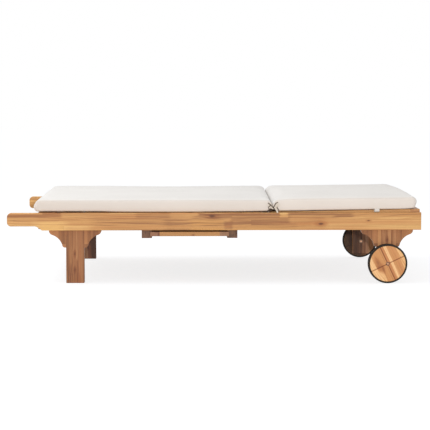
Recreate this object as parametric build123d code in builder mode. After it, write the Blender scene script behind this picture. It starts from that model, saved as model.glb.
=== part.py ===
from build123d import *

import os
from math import cos, radians, sin, tan

# Double chaise lounger: a wide sunbed with cart wheels, a reclining back and two side trays.
# All lengths are in millimetres and all angles in degrees.
# X runs along the bed to the head end, Y across it, and Z up from the ground.
# The origin is on the ground under the middle of the bed.

NEAR = -1
FAR = 1
SIDES = {"near": NEAR, "far": FAR}

# Overall
rail_length = 2100
overall_width = 1300
rail_top = 360

# Side rails and their carrying handles
rail_height = 88
rail_thickness = 38
rail_edge_radius = 3
rail_head_radius = 6
handle_length = 141
handle_height = 67
handle_step_run = 34
handle_step_sag = 3
handle_end_radius = 20

# Legs and their shaped brackets
leg_width = 92.5
leg_thickness = 35
leg_lap = 44
leg_edge_radius = 3
foot_leg_setback = 341.3
head_leg_setback = 169.5
head_leg_ground_gap = 27
bracket_width = 86.5
bracket_drop = 90
ledge_run = 6.5
lower_lobe_run = 13
lower_lobe_rise = 14
cove_run_share = 0.77
cove_rise_share = 0.70
cove_middle_shares = (0.40, 0.45)
lobe_middle_shares = (0.95, 0.81)
lobe_top_share = 0.91

# Cross rails and bearers
cross_rail_thickness = 30
cross_rail_clearance = 4
foot_cross_rail_setback = 155
hinge_cross_rail_setback = 50
head_cross_rail_setback = 3
ledger_size = 25
bearer_width = 40
bearer_height = 34

# Deck slats
deck_rise = 2
slat_width = 94
slat_thickness = 18
slat_edge_radius = 2.5
slat_end_gap = 0.5
slat_least_gap = 25
seat_deck_setback = 42

# Reclining back
backrest_length = 764
backrest_end_gap = 1
back_rest_angle = 1
back_tilt = 65
hinge_drop = 34
stile_below_axis = 16
stile_thickness = 32
stile_side_gap = 3
stile_edge_radius = 3
stile_nose = 6
rebate_width = 12
hinge_bar_start = 18
hinge_bar_width = 26
hinge_bar_lift = 8
head_bar_width = 90
batten_width = 60
batten_thickness = 15
rest_gap = 0.3

# Prop frame under the back
prop_head_clearance = 20
prop_arm_height = 28
prop_arm_thickness = 28
prop_side_gap = 3
prop_bar_diameter = 22
notch_count = 5
notch_step_angle = 13
notch_diameter = 24
notch_rise = 2
ratchet_thickness = 28
ratchet_side_gap = 3

# Pins and screws
pin_diameter = 12
pin_length = 52
pin_seat_depth = 20
prop_pin_length = 56
running_fit = 0.05
screw_diameter = 5
screw_head_diameter = 10
screw_fit = 0.05
frame_screw_length = 60
frame_screw_pitch = 40
slat_screw_length = 30
cut_overrun = 1

# Side trays and their runners
tray_depth = 420
tray_thickness = 22
tray_drop = 8
tray_setback = 923
tray_opening = 382
tray_batten_width = 48
tray_edge_radius = 2
tray_side_play = 1
tray_play = 0.3
runner_width = 52
runner_height = 41
runner_recess = 20
runner_groove_depth = 10
runner_edge_radius = 2

# Cart wheels
wheel_diameter = 200
wheel_thickness = 34
wheel_gap = 11.5
tyre_thickness = 9
tyre_width = 32
tyre_edge_radius = 2.5
wheel_groove_width = 3.4
wheel_groove_depth = 2.4
wheel_groove_angle = -64.5
wheel_rim_chamfer = 1.5
bush_diameter = 18
axle_diameter = 10
axle_head_diameter = 13
axle_head_height = 4
axle_play = 0.5
axle_tail = 3
washer_diameter = 21
washer_thickness = 2
nut_width = 16
nut_height = 8
axle_hole_fit = 0.25

# Cushion
cushion_side_setback = 5
cushion_thickness = 62
cushion_crown = 4
cushion_side_bulge = 9
cushion_draw_in = 6
cushion_gap = 0.3
cushion_foot_overhang = 13
cushion_head_setback = 18
cushion_edge_round = 26
cushion_edge_drop = 13
cushion_corner_draw = 12
crease_round = 26
crease_top_drop = 26
crease_bottom_rise = 20
fold_reach = 100
round_distance_shares = (0, 0.16, 0.45, 1)
round_drop_shares = (1, 0.5, 0.16, 0)
length_shares = (0.25, 0.5, 0.75)

# Places worked out from the sizes above
foot_end_x = -rail_length / 2
head_end_x = rail_length / 2
rail_outer = overall_width / 2
rail_inner = rail_outer - rail_thickness
rail_bottom = rail_top - rail_height
deck_top = rail_top + deck_rise
deck_bottom = deck_top - slat_thickness

leg_inner = rail_inner - leg_thickness
leg_top = rail_bottom + leg_lap
foot_leg_x = foot_end_x + foot_leg_setback
head_leg_x = head_end_x - head_leg_setback
ledge_height = rail_bottom - bracket_drop

cross_rail_bottom = rail_bottom + cross_rail_clearance
hinge_x = head_end_x - backrest_end_gap - backrest_length
hinge_height = rail_top - hinge_drop
foot_cross_rail_x = foot_end_x + foot_cross_rail_setback + cross_rail_thickness / 2
hinge_cross_rail_x = hinge_x - hinge_cross_rail_setback - cross_rail_thickness / 2
head_cross_rail_x = head_end_x - head_cross_rail_setback - cross_rail_thickness / 2

bearer_start = foot_cross_rail_x + cross_rail_thickness / 2
bearer_end = hinge_cross_rail_x - cross_rail_thickness / 2
seat_deck_start = foot_cross_rail_x - cross_rail_thickness / 2
seat_deck_end = hinge_x - seat_deck_setback
seat_deck_length = seat_deck_end - seat_deck_start
seat_slat_count = int((seat_deck_length + slat_least_gap) / (slat_width + slat_least_gap))
seat_slat_pitch = (seat_deck_length - slat_width) / (seat_slat_count - 1)

stile_outer = rail_inner - stile_side_gap
stile_inner = stile_outer - stile_thickness
stile_above_axis = hinge_drop + deck_rise
slat_bottom_above_axis = stile_above_axis - slat_thickness
hinge_bar_end = hinge_bar_start + hinge_bar_width
head_bar_start = backrest_length - head_bar_width
back_deck_length = head_bar_start - hinge_bar_end
back_slat_count = int((back_deck_length - slat_least_gap) / (slat_width + slat_least_gap))
back_slat_gap = (back_deck_length - back_slat_count * slat_width) / (back_slat_count + 1)
back_slat_pitch = slat_width + back_slat_gap

prop_length = (head_bar_start - prop_head_clearance - prop_arm_height / 2) / 2
last_notch_angle = back_rest_angle + back_tilt
notch_angles = [last_notch_angle - number * notch_step_angle for number in range(notch_count)]
arm_outer = stile_inner - prop_side_gap
arm_inner = arm_outer - prop_arm_thickness
ratchet_outer = arm_inner - ratchet_side_gap
ratchet_inner = ratchet_outer - ratchet_thickness
ratchet_top = hinge_height - prop_bar_diameter / 2 - rest_gap

tray_x = foot_end_x + tray_setback
tray_top = rail_bottom - tray_drop
tray_bottom = tray_top - tray_thickness
tray_length = tray_opening + 2 * (runner_groove_depth - tray_side_play)
runner_bottom = rail_bottom - runner_height
runner_length = overall_width - 2 * runner_recess

wheel_radius = wheel_diameter / 2
wheel_inner = rail_inner + wheel_gap
wheel_outer = wheel_inner + wheel_thickness
disc_radius = wheel_radius - tyre_thickness
axle_seat = wheel_outer + axle_play
nut_seat = leg_inner - washer_thickness
bush_inner = rail_inner + washer_thickness + axle_play

cushion_half_width = rail_outer - cushion_side_setback
cushion_start = foot_end_x + foot_cross_rail_setback - cushion_foot_overhang
seat_cushion_length = hinge_x - cushion_start
back_cushion_length = backrest_length - cushion_head_setback
crease_start = crease_round * round_distance_shares[1] / 2

# The back lies at its rest angle, so its pieces are drawn on a plane through the hinge axis
seat_plane = Plane(origin=(hinge_x, 0, hinge_height), x_dir=(1, 0, 0), z_dir=(0, 0, 1))
rest = radians(back_rest_angle)
back_plane = Plane(
    origin=(hinge_x, 0, hinge_height),
    x_dir=(cos(rest), 0, sin(rest)),
    z_dir=(-sin(rest), 0, cos(rest)),
)


def save(piece, name):
    """Labels a finished piece and writes its file."""
    piece.part.label = name
    export_step(piece.part, f"parts/{name}.step")


def upright(y):
    """The upright plane across Y at y, with X to the right and Z up. Its normal points to the near side."""
    return Plane.XZ.offset(-y)


def upright_back(y):
    """The same plane, turned with the back about the hinge axis."""
    return Plane(
        origin=(hinge_x, y, hinge_height),
        x_dir=back_plane.x_dir,
        z_dir=(0, -1, 0),
    )


def low_face(side, outer, inner):
    """The lower Y of a board that lies between two distances from the middle."""
    return min(side * outer, side * inner)


def screw_place(side, x, z):
    """Where a screw enters the inner face of a leg, heading outwards."""
    return Plane(origin=(x, side * leg_inner, z), z_dir=(0, -side, 0)).location


def leg_screw_places(side, leg_x):
    """The four screws that hold one leg and its two brackets to the rail."""
    height = rail_bottom + leg_lap / 2
    near_post = leg_width / 4
    in_bracket = leg_width / 2 + frame_screw_pitch
    offsets = (-in_bracket, -near_post, near_post, in_bracket)
    return [screw_place(side, leg_x + offset, height) for offset in offsets]


def runner_screw_place(side, x):
    """Where a screw enters the underside of a runner, heading up into the rail."""
    middle = side * (rail_inner + runner_length / 2) / 2
    return Plane(origin=(x, middle, runner_bottom), z_dir=(0, 0, -1)).location


def runner_places():
    """The middle of each tray runner along X, by name."""
    reach = (tray_opening + runner_width) / 2
    return {"foot": tray_x - reach, "head": tray_x + reach}


def rail_screw_places(side):
    """Every screw that ends in one side rail."""
    places = leg_screw_places(side, foot_leg_x) + leg_screw_places(side, head_leg_x)
    places += [runner_screw_place(side, x) for x in runner_places().values()]
    return places


def screw_hole(depth):
    """A plain hole for a screw's shank, cut at each active place."""
    Hole(radius=screw_diameter / 2 + screw_fit, depth=depth)


def countersunk_hole(depth):
    """A countersunk hole for a screw, cut at each active place."""
    CounterSinkHole(
        radius=screw_diameter / 2 + screw_fit,
        counter_sink_radius=screw_head_diameter / 2 + screw_fit,
        depth=depth,
        counter_sink_angle=90,
    )


def screws(name, places, length):
    """A set of like countersunk screws, one for each place, with the head flush at the place."""
    head = screw_head_diameter / 2
    shank = screw_diameter / 2
    with BuildPart() as piece:
        for place in places:
            plane = Plane(place)
            with BuildSketch(Plane(origin=plane.origin, x_dir=plane.x_dir, z_dir=plane.y_dir)):
                with BuildLine():
                    Polyline(
                        (0, 0),
                        (head, 0),
                        (shank, head - shank),
                        (shank, length - shank),
                        (0, length),
                        close=True,
                    )
                make_face()
            revolve(axis=Axis(plane.origin, plane.z_dir))
    save(piece, name)


def side_rail(name, side):
    """A side rail, whose foot end is cut down to a rounded carrying handle."""
    start = low_face(side, rail_outer, rail_inner)
    handle_bottom = rail_top - handle_height
    step_start = foot_end_x + handle_length
    step_end = step_start + handle_step_run
    step_middle_x = (step_start + step_end) / 2
    step_middle_z = (handle_bottom + rail_bottom) / 2 + handle_step_sag
    with BuildPart() as rail:
        with BuildSketch(upright(start)):
            with BuildLine():
                Polyline(
                    (step_end, rail_bottom),
                    (head_end_x, rail_bottom),
                    (head_end_x, rail_top),
                    (foot_end_x, rail_top),
                    (foot_end_x, handle_bottom),
                    (step_start, handle_bottom),
                )
                ThreePointArc(
                    (step_start, handle_bottom),
                    (step_middle_x, step_middle_z),
                    (step_end, rail_bottom),
                )
            outline = make_face()
            fillet(outline.vertices().group_by(Axis.X)[0], handle_end_radius)
            fillet(outline.vertices().group_by(Axis.X)[-1], rail_head_radius)
        extrude(amount=-rail_thickness)
        faces = rail.faces().sort_by(Axis.Y)
        fillet(faces[0].edges() + faces[-1].edges(), rail_edge_radius)
        with Locations(*rail_screw_places(side)):
            screw_hole(frame_screw_length)
        with Locations(Plane(origin=(hinge_x, side * rail_inner, hinge_height), z_dir=(0, -side, 0))):
            Hole(radius=pin_diameter / 2, depth=pin_seat_depth)
    save(rail, name)


def cross_rail(name, x, bottom, top):
    """A rail across the bed between the side rails."""
    with BuildPart() as rail:
        with BuildSketch(Plane.XY.offset(bottom)):
            with Locations((x, 0)):
                Rectangle(cross_rail_thickness, 2 * rail_inner)
        extrude(amount=top - bottom)
        fillet(rail.edges().filter_by(Axis.Y), slat_edge_radius)
    save(rail, name)


def head_cross_rail_top():
    """The height at which the back lies on the head cross rail, at the rail's foot side."""
    reach = head_cross_rail_x - cross_rail_thickness / 2 - hinge_x
    return hinge_height + reach * tan(rest) - stile_below_axis / cos(rest) - rest_gap


def leg(name, side, x, bottom, axle_hole):
    """A leg post inside the rail. The head legs carry the axle bolts."""
    start = low_face(side, rail_inner, leg_inner)
    with BuildPart() as post:
        with BuildSketch(upright(start)):
            with Locations((x, (bottom + leg_top) / 2)):
                Rectangle(leg_width, leg_top - bottom)
        extrude(amount=-leg_thickness)
        foot = post.faces().sort_by(Axis.Z)[0]
        fillet(foot.edges(), leg_edge_radius)
        with Locations(*leg_screw_places(side, x)[1:3]):
            countersunk_hole(leg_thickness)
        if axle_hole:
            with Locations(Plane(origin=(x, side * leg_inner, wheel_radius), z_dir=(0, -side, 0))):
                Hole(radius=axle_diameter / 2 + axle_hole_fit, depth=leg_thickness)
    save(post, name)


def leg_brackets(name):
    """The eight ogee brackets, one each side of every leg post."""
    cove_start = (ledge_run + lower_lobe_run, lower_lobe_rise)
    cove_middle = (cove_middle_shares[0] * bracket_width, cove_middle_shares[1] * bracket_drop)
    cove_end = (cove_run_share * bracket_width, cove_rise_share * bracket_drop)
    lobe_middle = (lobe_middle_shares[0] * bracket_width, lobe_middle_shares[1] * bracket_drop)
    lobe_end = (bracket_width, lobe_top_share * bracket_drop)
    lobe_sag = cos(radians(45))
    toe_middle = (ledge_run + lower_lobe_run * lobe_sag, lower_lobe_rise * (1 - lobe_sag))
    bracket_top = bracket_drop + leg_lap
    with BuildPart() as brackets:
        for side in SIDES.values():
            start = low_face(side, rail_inner, leg_inner)
            for leg_x in (foot_leg_x, head_leg_x):
                for hand in (-1, 1):
                    corner_x = leg_x + hand * leg_width / 2

                    def place(point, hand=hand, corner_x=corner_x):
                        return (corner_x + hand * point[0], ledge_height + point[1])

                    with BuildSketch(upright(start)):
                        with BuildLine():
                            Polyline(place((0, bracket_top)), place((0, 0)), place((ledge_run, 0)))
                            ThreePointArc(place((ledge_run, 0)), place(toe_middle), place(cove_start))
                            ThreePointArc(place(cove_start), place(cove_middle), place(cove_end))
                            ThreePointArc(place(cove_end), place(lobe_middle), place(lobe_end))
                            Polyline(
                                place(lobe_end),
                                place((bracket_width, bracket_top)),
                                place((0, bracket_top)),
                            )
                        make_face()
                    extrude(amount=-leg_thickness)
        for side in SIDES.values():
            for leg_x in (foot_leg_x, head_leg_x):
                with Locations(*leg_screw_places(side, leg_x)[0::3]):
                    countersunk_hole(leg_thickness)
    save(brackets, name)


def ledger(name, side):
    """The strip inside a rail that the ends of the seat slats lie on, between the two cross rails."""
    start = low_face(side, rail_inner, rail_inner - ledger_size)
    with BuildPart() as strip:
        with BuildSketch(upright(start)):
            with Locations(((bearer_start + bearer_end) / 2, deck_bottom - ledger_size / 2)):
                Rectangle(bearer_end - bearer_start, ledger_size)
        extrude(amount=-ledger_size)
        with Locations(*[place for place in seat_screw_places() if place.position.Y * side > ledger_size]):
            screw_hole(slat_screw_length)
    save(strip, name)


def seat_slat_x(number):
    """The middle of a seat slat along X, counted from the foot end."""
    return seat_deck_start + slat_width / 2 + number * seat_slat_pitch


def seat_screw_places():
    """The screws of the seat slats: one at each end and one into the middle bearer."""
    rows = (-(rail_inner - ledger_size / 2), 0, rail_inner - ledger_size / 2)
    return [Location((seat_slat_x(number), y, deck_top)) for number in range(seat_slat_count) for y in rows]


def seat_bearer(name):
    """The bearer under the middle of the seat slats, from the foot cross rail to the hinge cross rail."""
    with BuildPart() as bearer:
        with BuildSketch(Plane.XY.offset(deck_bottom - bearer_height)):
            with Locations(((bearer_start + bearer_end) / 2, 0)):
                Rectangle(bearer_end - bearer_start, bearer_width)
        extrude(amount=bearer_height)
        with Locations(*[place for place in seat_screw_places() if abs(place.position.Y) < bearer_width]):
            screw_hole(slat_screw_length)
    save(bearer, name)


def seat_slat(number):
    """A seat slat, screwed to the ledgers and the bearer."""
    x = seat_slat_x(number)
    with BuildPart() as slat:
        with BuildSketch(Plane.XY.offset(deck_bottom)):
            with Locations((x, 0)):
                Rectangle(slat_width, 2 * (rail_inner - slat_end_gap))
        extrude(amount=slat_thickness)
        fillet(slat.edges().filter_by(Axis.Y), slat_edge_radius)
        with Locations(*seat_screw_places()[3 * number : 3 * number + 3]):
            countersunk_hole(slat_thickness)
    save(slat, f"seat_slat_{number + 1}")


def ratchet_rail(name, side):
    """A notched bearer that the prop frame's foot bar rests on, between two cross rails."""
    start = low_face(side, ratchet_outer, ratchet_inner)
    first = hinge_cross_rail_x + cross_rail_thickness / 2
    last = head_cross_rail_x - cross_rail_thickness / 2
    with BuildPart() as ratchet:
        with BuildSketch(upright(start)):
            with Locations(((first + last) / 2, (cross_rail_bottom + ratchet_top) / 2)):
                Rectangle(last - first, ratchet_top - cross_rail_bottom)
            for angle in notch_angles:
                notch_x = hinge_x + 2 * prop_length * cos(radians(angle))
                with Locations((notch_x, ratchet_top + notch_rise)):
                    Circle(notch_diameter / 2, mode=Mode.SUBTRACT)
        extrude(amount=-ratchet_thickness)
    save(ratchet, name)


def tray_runner(name, x, inward):
    """A runner under both side rails, grooved along its inner face for the tray ends."""
    groove_x = x + inward * (runner_width - runner_groove_depth) / 2
    groove_height = tray_thickness + 2 * tray_play
    with BuildPart() as runner:
        with BuildSketch(upright(-runner_length / 2)):
            with Locations((x, runner_bottom + runner_height / 2)):
                Rectangle(runner_width, runner_height)
            with Locations((groove_x, tray_bottom + tray_thickness / 2)):
                Rectangle(runner_groove_depth, groove_height, mode=Mode.SUBTRACT)
        extrude(amount=-runner_length)
        corners = runner.edges().filter_by(Axis.Y).group_by(Axis.Z)[0]
        fillet(corners, runner_edge_radius)
        with Locations(*[runner_screw_place(side, x) for side in SIDES.values()]):
            countersunk_hole(runner_height)
    save(runner, name)


def tray_board(name, side, boards):
    """Boards of one tray, given as pairs of their middle along X and their width."""
    middle = side * (rail_outer - tray_depth / 2)
    with BuildPart() as piece:
        for x, width in boards:
            with BuildSketch(Plane.XY.offset(tray_bottom)):
                with Locations((x, middle)):
                    Rectangle(width, tray_depth)
            extrude(amount=tray_thickness)
        front = piece.faces().group_by(Axis.Y)[0 if side == NEAR else -1]
        fillet(front.edges().filter_by(Axis.X), tray_edge_radius)
    save(piece, name)


def tray(name, side):
    """A sliding side tray: a panel with a batten along each end, whose outer edge runs in a groove."""
    reach = (tray_length - tray_batten_width) / 2
    tray_board(f"{name}_panel", side, [(tray_x, tray_length - 2 * tray_batten_width)])
    battens = [(tray_x + hand * reach, tray_batten_width) for hand in (-1, 1)]
    tray_board(f"{name}_end_battens", side, battens)


def wheel_plane(side, distance):
    """A plane square to the axle at a distance from the middle, facing outwards."""
    return Plane(
        origin=(head_leg_x, side * distance, wheel_radius),
        x_dir=(-side, 0, 0),
        z_dir=(0, side, 0),
    )


def wheel(name, side):
    """A cart wheel: a wooden disc with a crossed pair of grooves, its tyre and its bush."""
    with BuildPart() as disc:
        with BuildSketch(wheel_plane(side, wheel_inner)):
            Circle(disc_radius)
            Circle(bush_diameter / 2, mode=Mode.SUBTRACT)
        extrude(amount=wheel_thickness)
        rims = disc.edges().filter_by(GeomType.CIRCLE).filter_by(lambda edge: edge.radius > bush_diameter)
        chamfer(rims, wheel_rim_chamfer)
        for turn in (wheel_groove_angle, wheel_groove_angle + 90):
            face = wheel_plane(side, wheel_outer).rotated((0, 0, -side * turn))
            across = Plane(origin=face.origin, x_dir=face.y_dir, z_dir=face.x_dir).offset(-wheel_radius)
            with BuildSketch(across):
                with BuildLine():
                    Polyline(
                        (-wheel_groove_width / 2, 0),
                        (0, -wheel_groove_depth),
                        (wheel_groove_width / 2, 0),
                        (wheel_groove_width / 2, cut_overrun),
                        (-wheel_groove_width / 2, cut_overrun),
                        close=True,
                    )
                make_face()
            extrude(amount=wheel_diameter, mode=Mode.SUBTRACT)
    save(disc, f"{name}_disc")

    tyre_start = wheel_inner + (wheel_thickness - tyre_width) / 2
    with BuildPart() as tyre:
        with BuildSketch(wheel_plane(side, tyre_start)):
            Circle(wheel_radius)
            Circle(disc_radius, mode=Mode.SUBTRACT)
        extrude(amount=tyre_width)
        outside = tyre.edges().filter_by(GeomType.CIRCLE).sort_by(SortBy.RADIUS)[-2:]
        fillet(outside, tyre_edge_radius)
    save(tyre, f"{name}_tyre")

    with BuildPart() as bush:
        with BuildSketch(wheel_plane(side, bush_inner)):
            Circle(bush_diameter / 2)
            Circle(axle_diameter / 2 + running_fit, mode=Mode.SUBTRACT)
        extrude(amount=wheel_outer - bush_inner)
    save(bush, f"{name}_bush")


def axle_bolts(name):
    """The two axle bolts, each with a domed head outside its wheel and its nut inside the leg."""
    head = axle_head_diameter / 2
    shank = axle_diameter / 2
    length = axle_seat - nut_seat + nut_height + axle_tail
    dome_middle = (head * cos(radians(45)), -axle_head_height * sin(radians(45)))
    with BuildPart() as bolts:
        for side in SIDES.values():
            seat = wheel_plane(side, axle_seat)
            with BuildSketch(Plane(origin=seat.origin, x_dir=seat.x_dir, z_dir=seat.y_dir)):
                with BuildLine():
                    ThreePointArc((0, -axle_head_height), dome_middle, (head, 0))
                    Polyline((head, 0), (shank, 0), (shank, length), (0, length), (0, -axle_head_height))
                make_face()
            revolve(axis=Axis(seat.origin, seat.z_dir))
    save(bolts, name)


def axle_washers(name):
    """The washers on both faces of each head leg."""
    with BuildPart() as washers:
        for side in SIDES.values():
            for seat in (rail_inner, nut_seat):
                with BuildSketch(wheel_plane(side, seat)):
                    Circle(washer_diameter / 2)
                    Circle(axle_diameter / 2 + axle_hole_fit, mode=Mode.SUBTRACT)
                extrude(amount=washer_thickness)
    save(washers, name)


def axle_nuts(name):
    """The nuts on the inner ends of the axle bolts."""
    with BuildPart() as nuts:
        for side in SIDES.values():
            with BuildSketch(wheel_plane(side, nut_seat - nut_height)):
                RegularPolygon(nut_width / 2, 6, major_radius=False)
                Circle(axle_diameter / 2 + running_fit, mode=Mode.SUBTRACT)
            extrude(amount=nut_height)
    save(nuts, name)


def hinge_pins(name):
    """The pins that stand out of the side rails and carry the back."""
    with BuildPart() as pins:
        for side in SIDES.values():
            start = low_face(side, rail_inner + pin_seat_depth, rail_inner + pin_seat_depth - pin_length)
            with BuildSketch(upright(start)):
                with Locations((hinge_x, hinge_height)):
                    Circle(pin_diameter / 2)
            extrude(amount=-pin_length)
    save(pins, name)


def back_slat_u(number):
    """The middle of a back slat, measured along the back from the hinge axis."""
    return hinge_bar_end + back_slat_gap + slat_width / 2 + number * back_slat_pitch


def back_screw_places():
    """The screws of the back slats: one at each end and one into the middle batten."""
    end = stile_inner + rebate_width / 2
    return [
        back_plane.location * Location((back_slat_u(number), y, stile_above_axis))
        for number in range(back_slat_count)
        for y in (-end, 0, end)
    ]


def back_stile(name, side):
    """A stile of the back, rounded about the hinge axis and rebated for the slats."""
    start = low_face(side, stile_outer, stile_inner)
    rebate = low_face(side, stile_inner, stile_inner + rebate_width)
    lean = radians(45) + rest / 2
    with BuildPart() as stile:
        with BuildSketch(upright_back(start)):
            with BuildLine():
                Polyline(
                    (-stile_below_axis, 0),
                    (-stile_below_axis, stile_below_axis),
                    (stile_nose, stile_above_axis),
                    (backrest_length, stile_above_axis),
                    (backrest_length, -stile_below_axis),
                    (0, -stile_below_axis),
                )
                ThreePointArc(
                    (0, -stile_below_axis),
                    (-stile_below_axis * cos(lean), -stile_below_axis * sin(lean)),
                    (-stile_below_axis, 0),
                )
            make_face()
        extrude(amount=-stile_thickness)
        with BuildSketch(upright_back(rebate)):
            with Locations(((hinge_bar_end + head_bar_start) / 2, stile_above_axis - slat_thickness / 2)):
                Rectangle(back_deck_length, slat_thickness)
        extrude(amount=-rebate_width, mode=Mode.SUBTRACT)
        ends = stile.faces().filter_by(Plane(back_plane.origin, z_dir=back_plane.x_dir)).sort_by(Axis.X)
        fillet(ends[-1].edges(), stile_edge_radius)
        with Locations(*[place for place in back_screw_places() if place.position.Y * side > 0]):
            screw_hole(slat_screw_length)
        with Locations(Plane(origin=(hinge_x, side * stile_inner, hinge_height), z_dir=(0, -side, 0))):
            Hole(radius=pin_diameter / 2 + running_fit, depth=stile_thickness)
        with Locations(prop_pin_seat(side)):
            Hole(radius=pin_diameter / 2, depth=stile_thickness)
    save(stile, name)


def prop_pivot():
    """The middle of the prop frame's pivot, in X and Z."""
    return (hinge_x + prop_length * cos(rest), hinge_height + prop_length * sin(rest))


def prop_foot():
    """The middle of the prop frame's foot bar, in X and Z. It stays level with the hinge axis."""
    return (hinge_x + 2 * prop_length * cos(rest), hinge_height)


def prop_pin_seat(side):
    """The plane at which the prop pivot enters a stile from inside."""
    x, z = prop_pivot()
    return Plane(origin=(x, side * stile_inner, z), z_dir=(0, -side, 0))


def back_bar(name, start, width, bottom):
    """A bar across the back between its stiles, flush with the slats."""
    with BuildPart() as bar:
        with BuildSketch(back_plane.offset(bottom)):
            with Locations((start + width / 2, 0)):
                Rectangle(width, 2 * stile_inner)
        extrude(amount=stile_above_axis - bottom)
        fillet(bar.edges().filter_by(Axis.Y), slat_edge_radius)
    save(bar, name)


def centre_batten(name):
    """The batten under the middle of the back slats."""
    with BuildPart() as batten:
        with BuildSketch(back_plane.offset(slat_bottom_above_axis - batten_thickness)):
            with Locations(((hinge_bar_end + head_bar_start) / 2, 0)):
                Rectangle(back_deck_length, batten_width)
        extrude(amount=batten_thickness)
        with Locations(*back_screw_places()[1::3]):
            screw_hole(slat_screw_length)
    save(batten, name)


def back_slat(number):
    """A back slat, let into the rebates of the stiles."""
    with BuildPart() as slat:
        with BuildSketch(back_plane.offset(slat_bottom_above_axis)):
            with Locations((back_slat_u(number), 0)):
                Rectangle(slat_width, 2 * (stile_inner + rebate_width - slat_end_gap))
        extrude(amount=slat_thickness)
        fillet(slat.edges().filter_by(Axis.Y), slat_edge_radius)
        with Locations(*back_screw_places()[3 * number : 3 * number + 3]):
            countersunk_hole(slat_thickness)
    save(slat, f"back_slat_{number + 1}")


def prop_pins(name):
    """The pins that carry the prop arms on the stiles."""
    with BuildPart() as pins:
        for side in SIDES.values():
            start = low_face(side, arm_inner, arm_inner + prop_pin_length)
            with BuildSketch(upright(start)):
                with Locations(prop_pivot()):
                    Circle(pin_diameter / 2)
            extrude(amount=-prop_pin_length)
    save(pins, name)


def prop_arm(name, side):
    """An arm of the prop frame, from its pivot on the stile down to the foot bar."""
    start = low_face(side, arm_outer, arm_inner)
    x, z = prop_pivot()
    plane = Plane(origin=(x, start, z), x_dir=(cos(rest), 0, -sin(rest)), z_dir=(0, -1, 0))
    with BuildPart() as arm:
        with BuildSketch(plane):
            with Locations((prop_length / 2, 0)):
                SlotCenterToCenter(prop_length, prop_arm_height)
            Circle(pin_diameter / 2 + running_fit, mode=Mode.SUBTRACT)
            with Locations((prop_length, 0)):
                Circle(prop_bar_diameter / 2, mode=Mode.SUBTRACT)
        extrude(amount=-prop_arm_thickness)
    save(arm, name)


def prop_bar(name):
    """The foot bar across the prop frame, which drops into the notches."""
    with BuildPart() as bar:
        with BuildSketch(upright(-arm_outer)):
            with Locations(prop_foot()):
                Circle(prop_bar_diameter / 2)
        extrude(amount=-2 * arm_outer)
    save(bar, name)


def cushion_plane(base, distance):
    """The plane square to a base plane's X direction, at a distance from the hinge axis."""
    origin = base.origin + base.x_dir * distance
    return Plane(origin=origin, x_dir=(0, 1, 0), z_dir=base.x_dir)


def side_draw(distance, length):
    """How far the sides are drawn in at a distance along a section of that length."""
    share = distance / length
    return 4 * share * (1 - share) * cushion_draw_in


def cushion_end(base, end, inward, length, reach):
    """Sections that round one end of the cushion, from the end inwards."""
    stations = []
    for distance_share, drop_share in zip(round_distance_shares, round_drop_shares):
        distance = distance_share * reach
        draw = side_draw(distance, length) + drop_share * cushion_corner_draw
        drop = drop_share * cushion_edge_drop
        stations.append((base, end + inward * distance, draw, drop, drop))
    return stations


def cushion(name, stations):
    """A cushion solid lofted through stations: plane, distance, side draw, base rise and top drop.
    Each section has a flat base, bulging sides and a crowned top."""
    low = stile_above_axis + cushion_gap
    full_top = low + cushion_thickness
    with BuildPart() as piece:
        for base, distance, draw, rise, drop in stations:
            half = cushion_half_width - draw
            foot = half - cushion_side_bulge
            bottom = low + rise
            top = full_top - drop
            middle = (bottom + top) / 2
            with BuildSketch(cushion_plane(base, distance)):
                with BuildLine():
                    Line((-foot, bottom), (foot, bottom))
                    ThreePointArc((foot, bottom), (half, middle), (foot, top))
                    ThreePointArc((foot, top), (0, top + cushion_crown), (-foot, top))
                    ThreePointArc((-foot, top), (-half, middle), (-foot, bottom))
                make_face()
        loft(ruled=True)
    save(piece, name)


def seat_cushion(name):
    """The seat part of the cushion, as far as the stretch that folds."""
    start = cushion_gap - seat_cushion_length
    length = -start
    stations = cushion_end(seat_plane, start, 1, length, cushion_edge_round)
    for share in length_shares:
        distance = share * (length - fold_reach)
        stations.append((seat_plane, start + distance, side_draw(distance, length), 0, 0))
    stations.append((seat_plane, -fold_reach, side_draw(length - fold_reach, length), 0, 0))
    cushion(name, stations)


def cushion_fold(name):
    """The stretch of the cushion that folds with the back, creased along the hinge."""
    crease = []
    for distance_share, drop_share in zip(round_distance_shares, round_drop_shares):
        distance = max(distance_share * crease_round, crease_start)
        draw = drop_share * cushion_corner_draw
        crease.append((distance, draw, drop_share * crease_bottom_rise, drop_share * crease_top_drop))
    stations = [(seat_plane, -fold_reach, side_draw(fold_reach, seat_cushion_length), 0, 0)]
    stations += [(seat_plane, -distance, *shape) for distance, *shape in crease[::-1]]
    stations += [(back_plane, distance, *shape) for distance, *shape in crease]
    stations.append((back_plane, fold_reach, side_draw(fold_reach, back_cushion_length), 0, 0))
    cushion(name, stations)


def back_cushion(name):
    """The back part of the cushion, from the stretch that folds to the head end."""
    start = fold_reach + cushion_gap
    length = back_cushion_length
    stations = [(back_plane, start, side_draw(start, length), 0, 0)]
    for share in length_shares:
        distance = start + share * (length - start)
        stations.append((back_plane, distance, side_draw(distance, length), 0, 0))
    stations += cushion_end(back_plane, length, -1, length, cushion_edge_round)[::-1]
    cushion(name, stations)


os.makedirs("parts", exist_ok=True)

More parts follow.
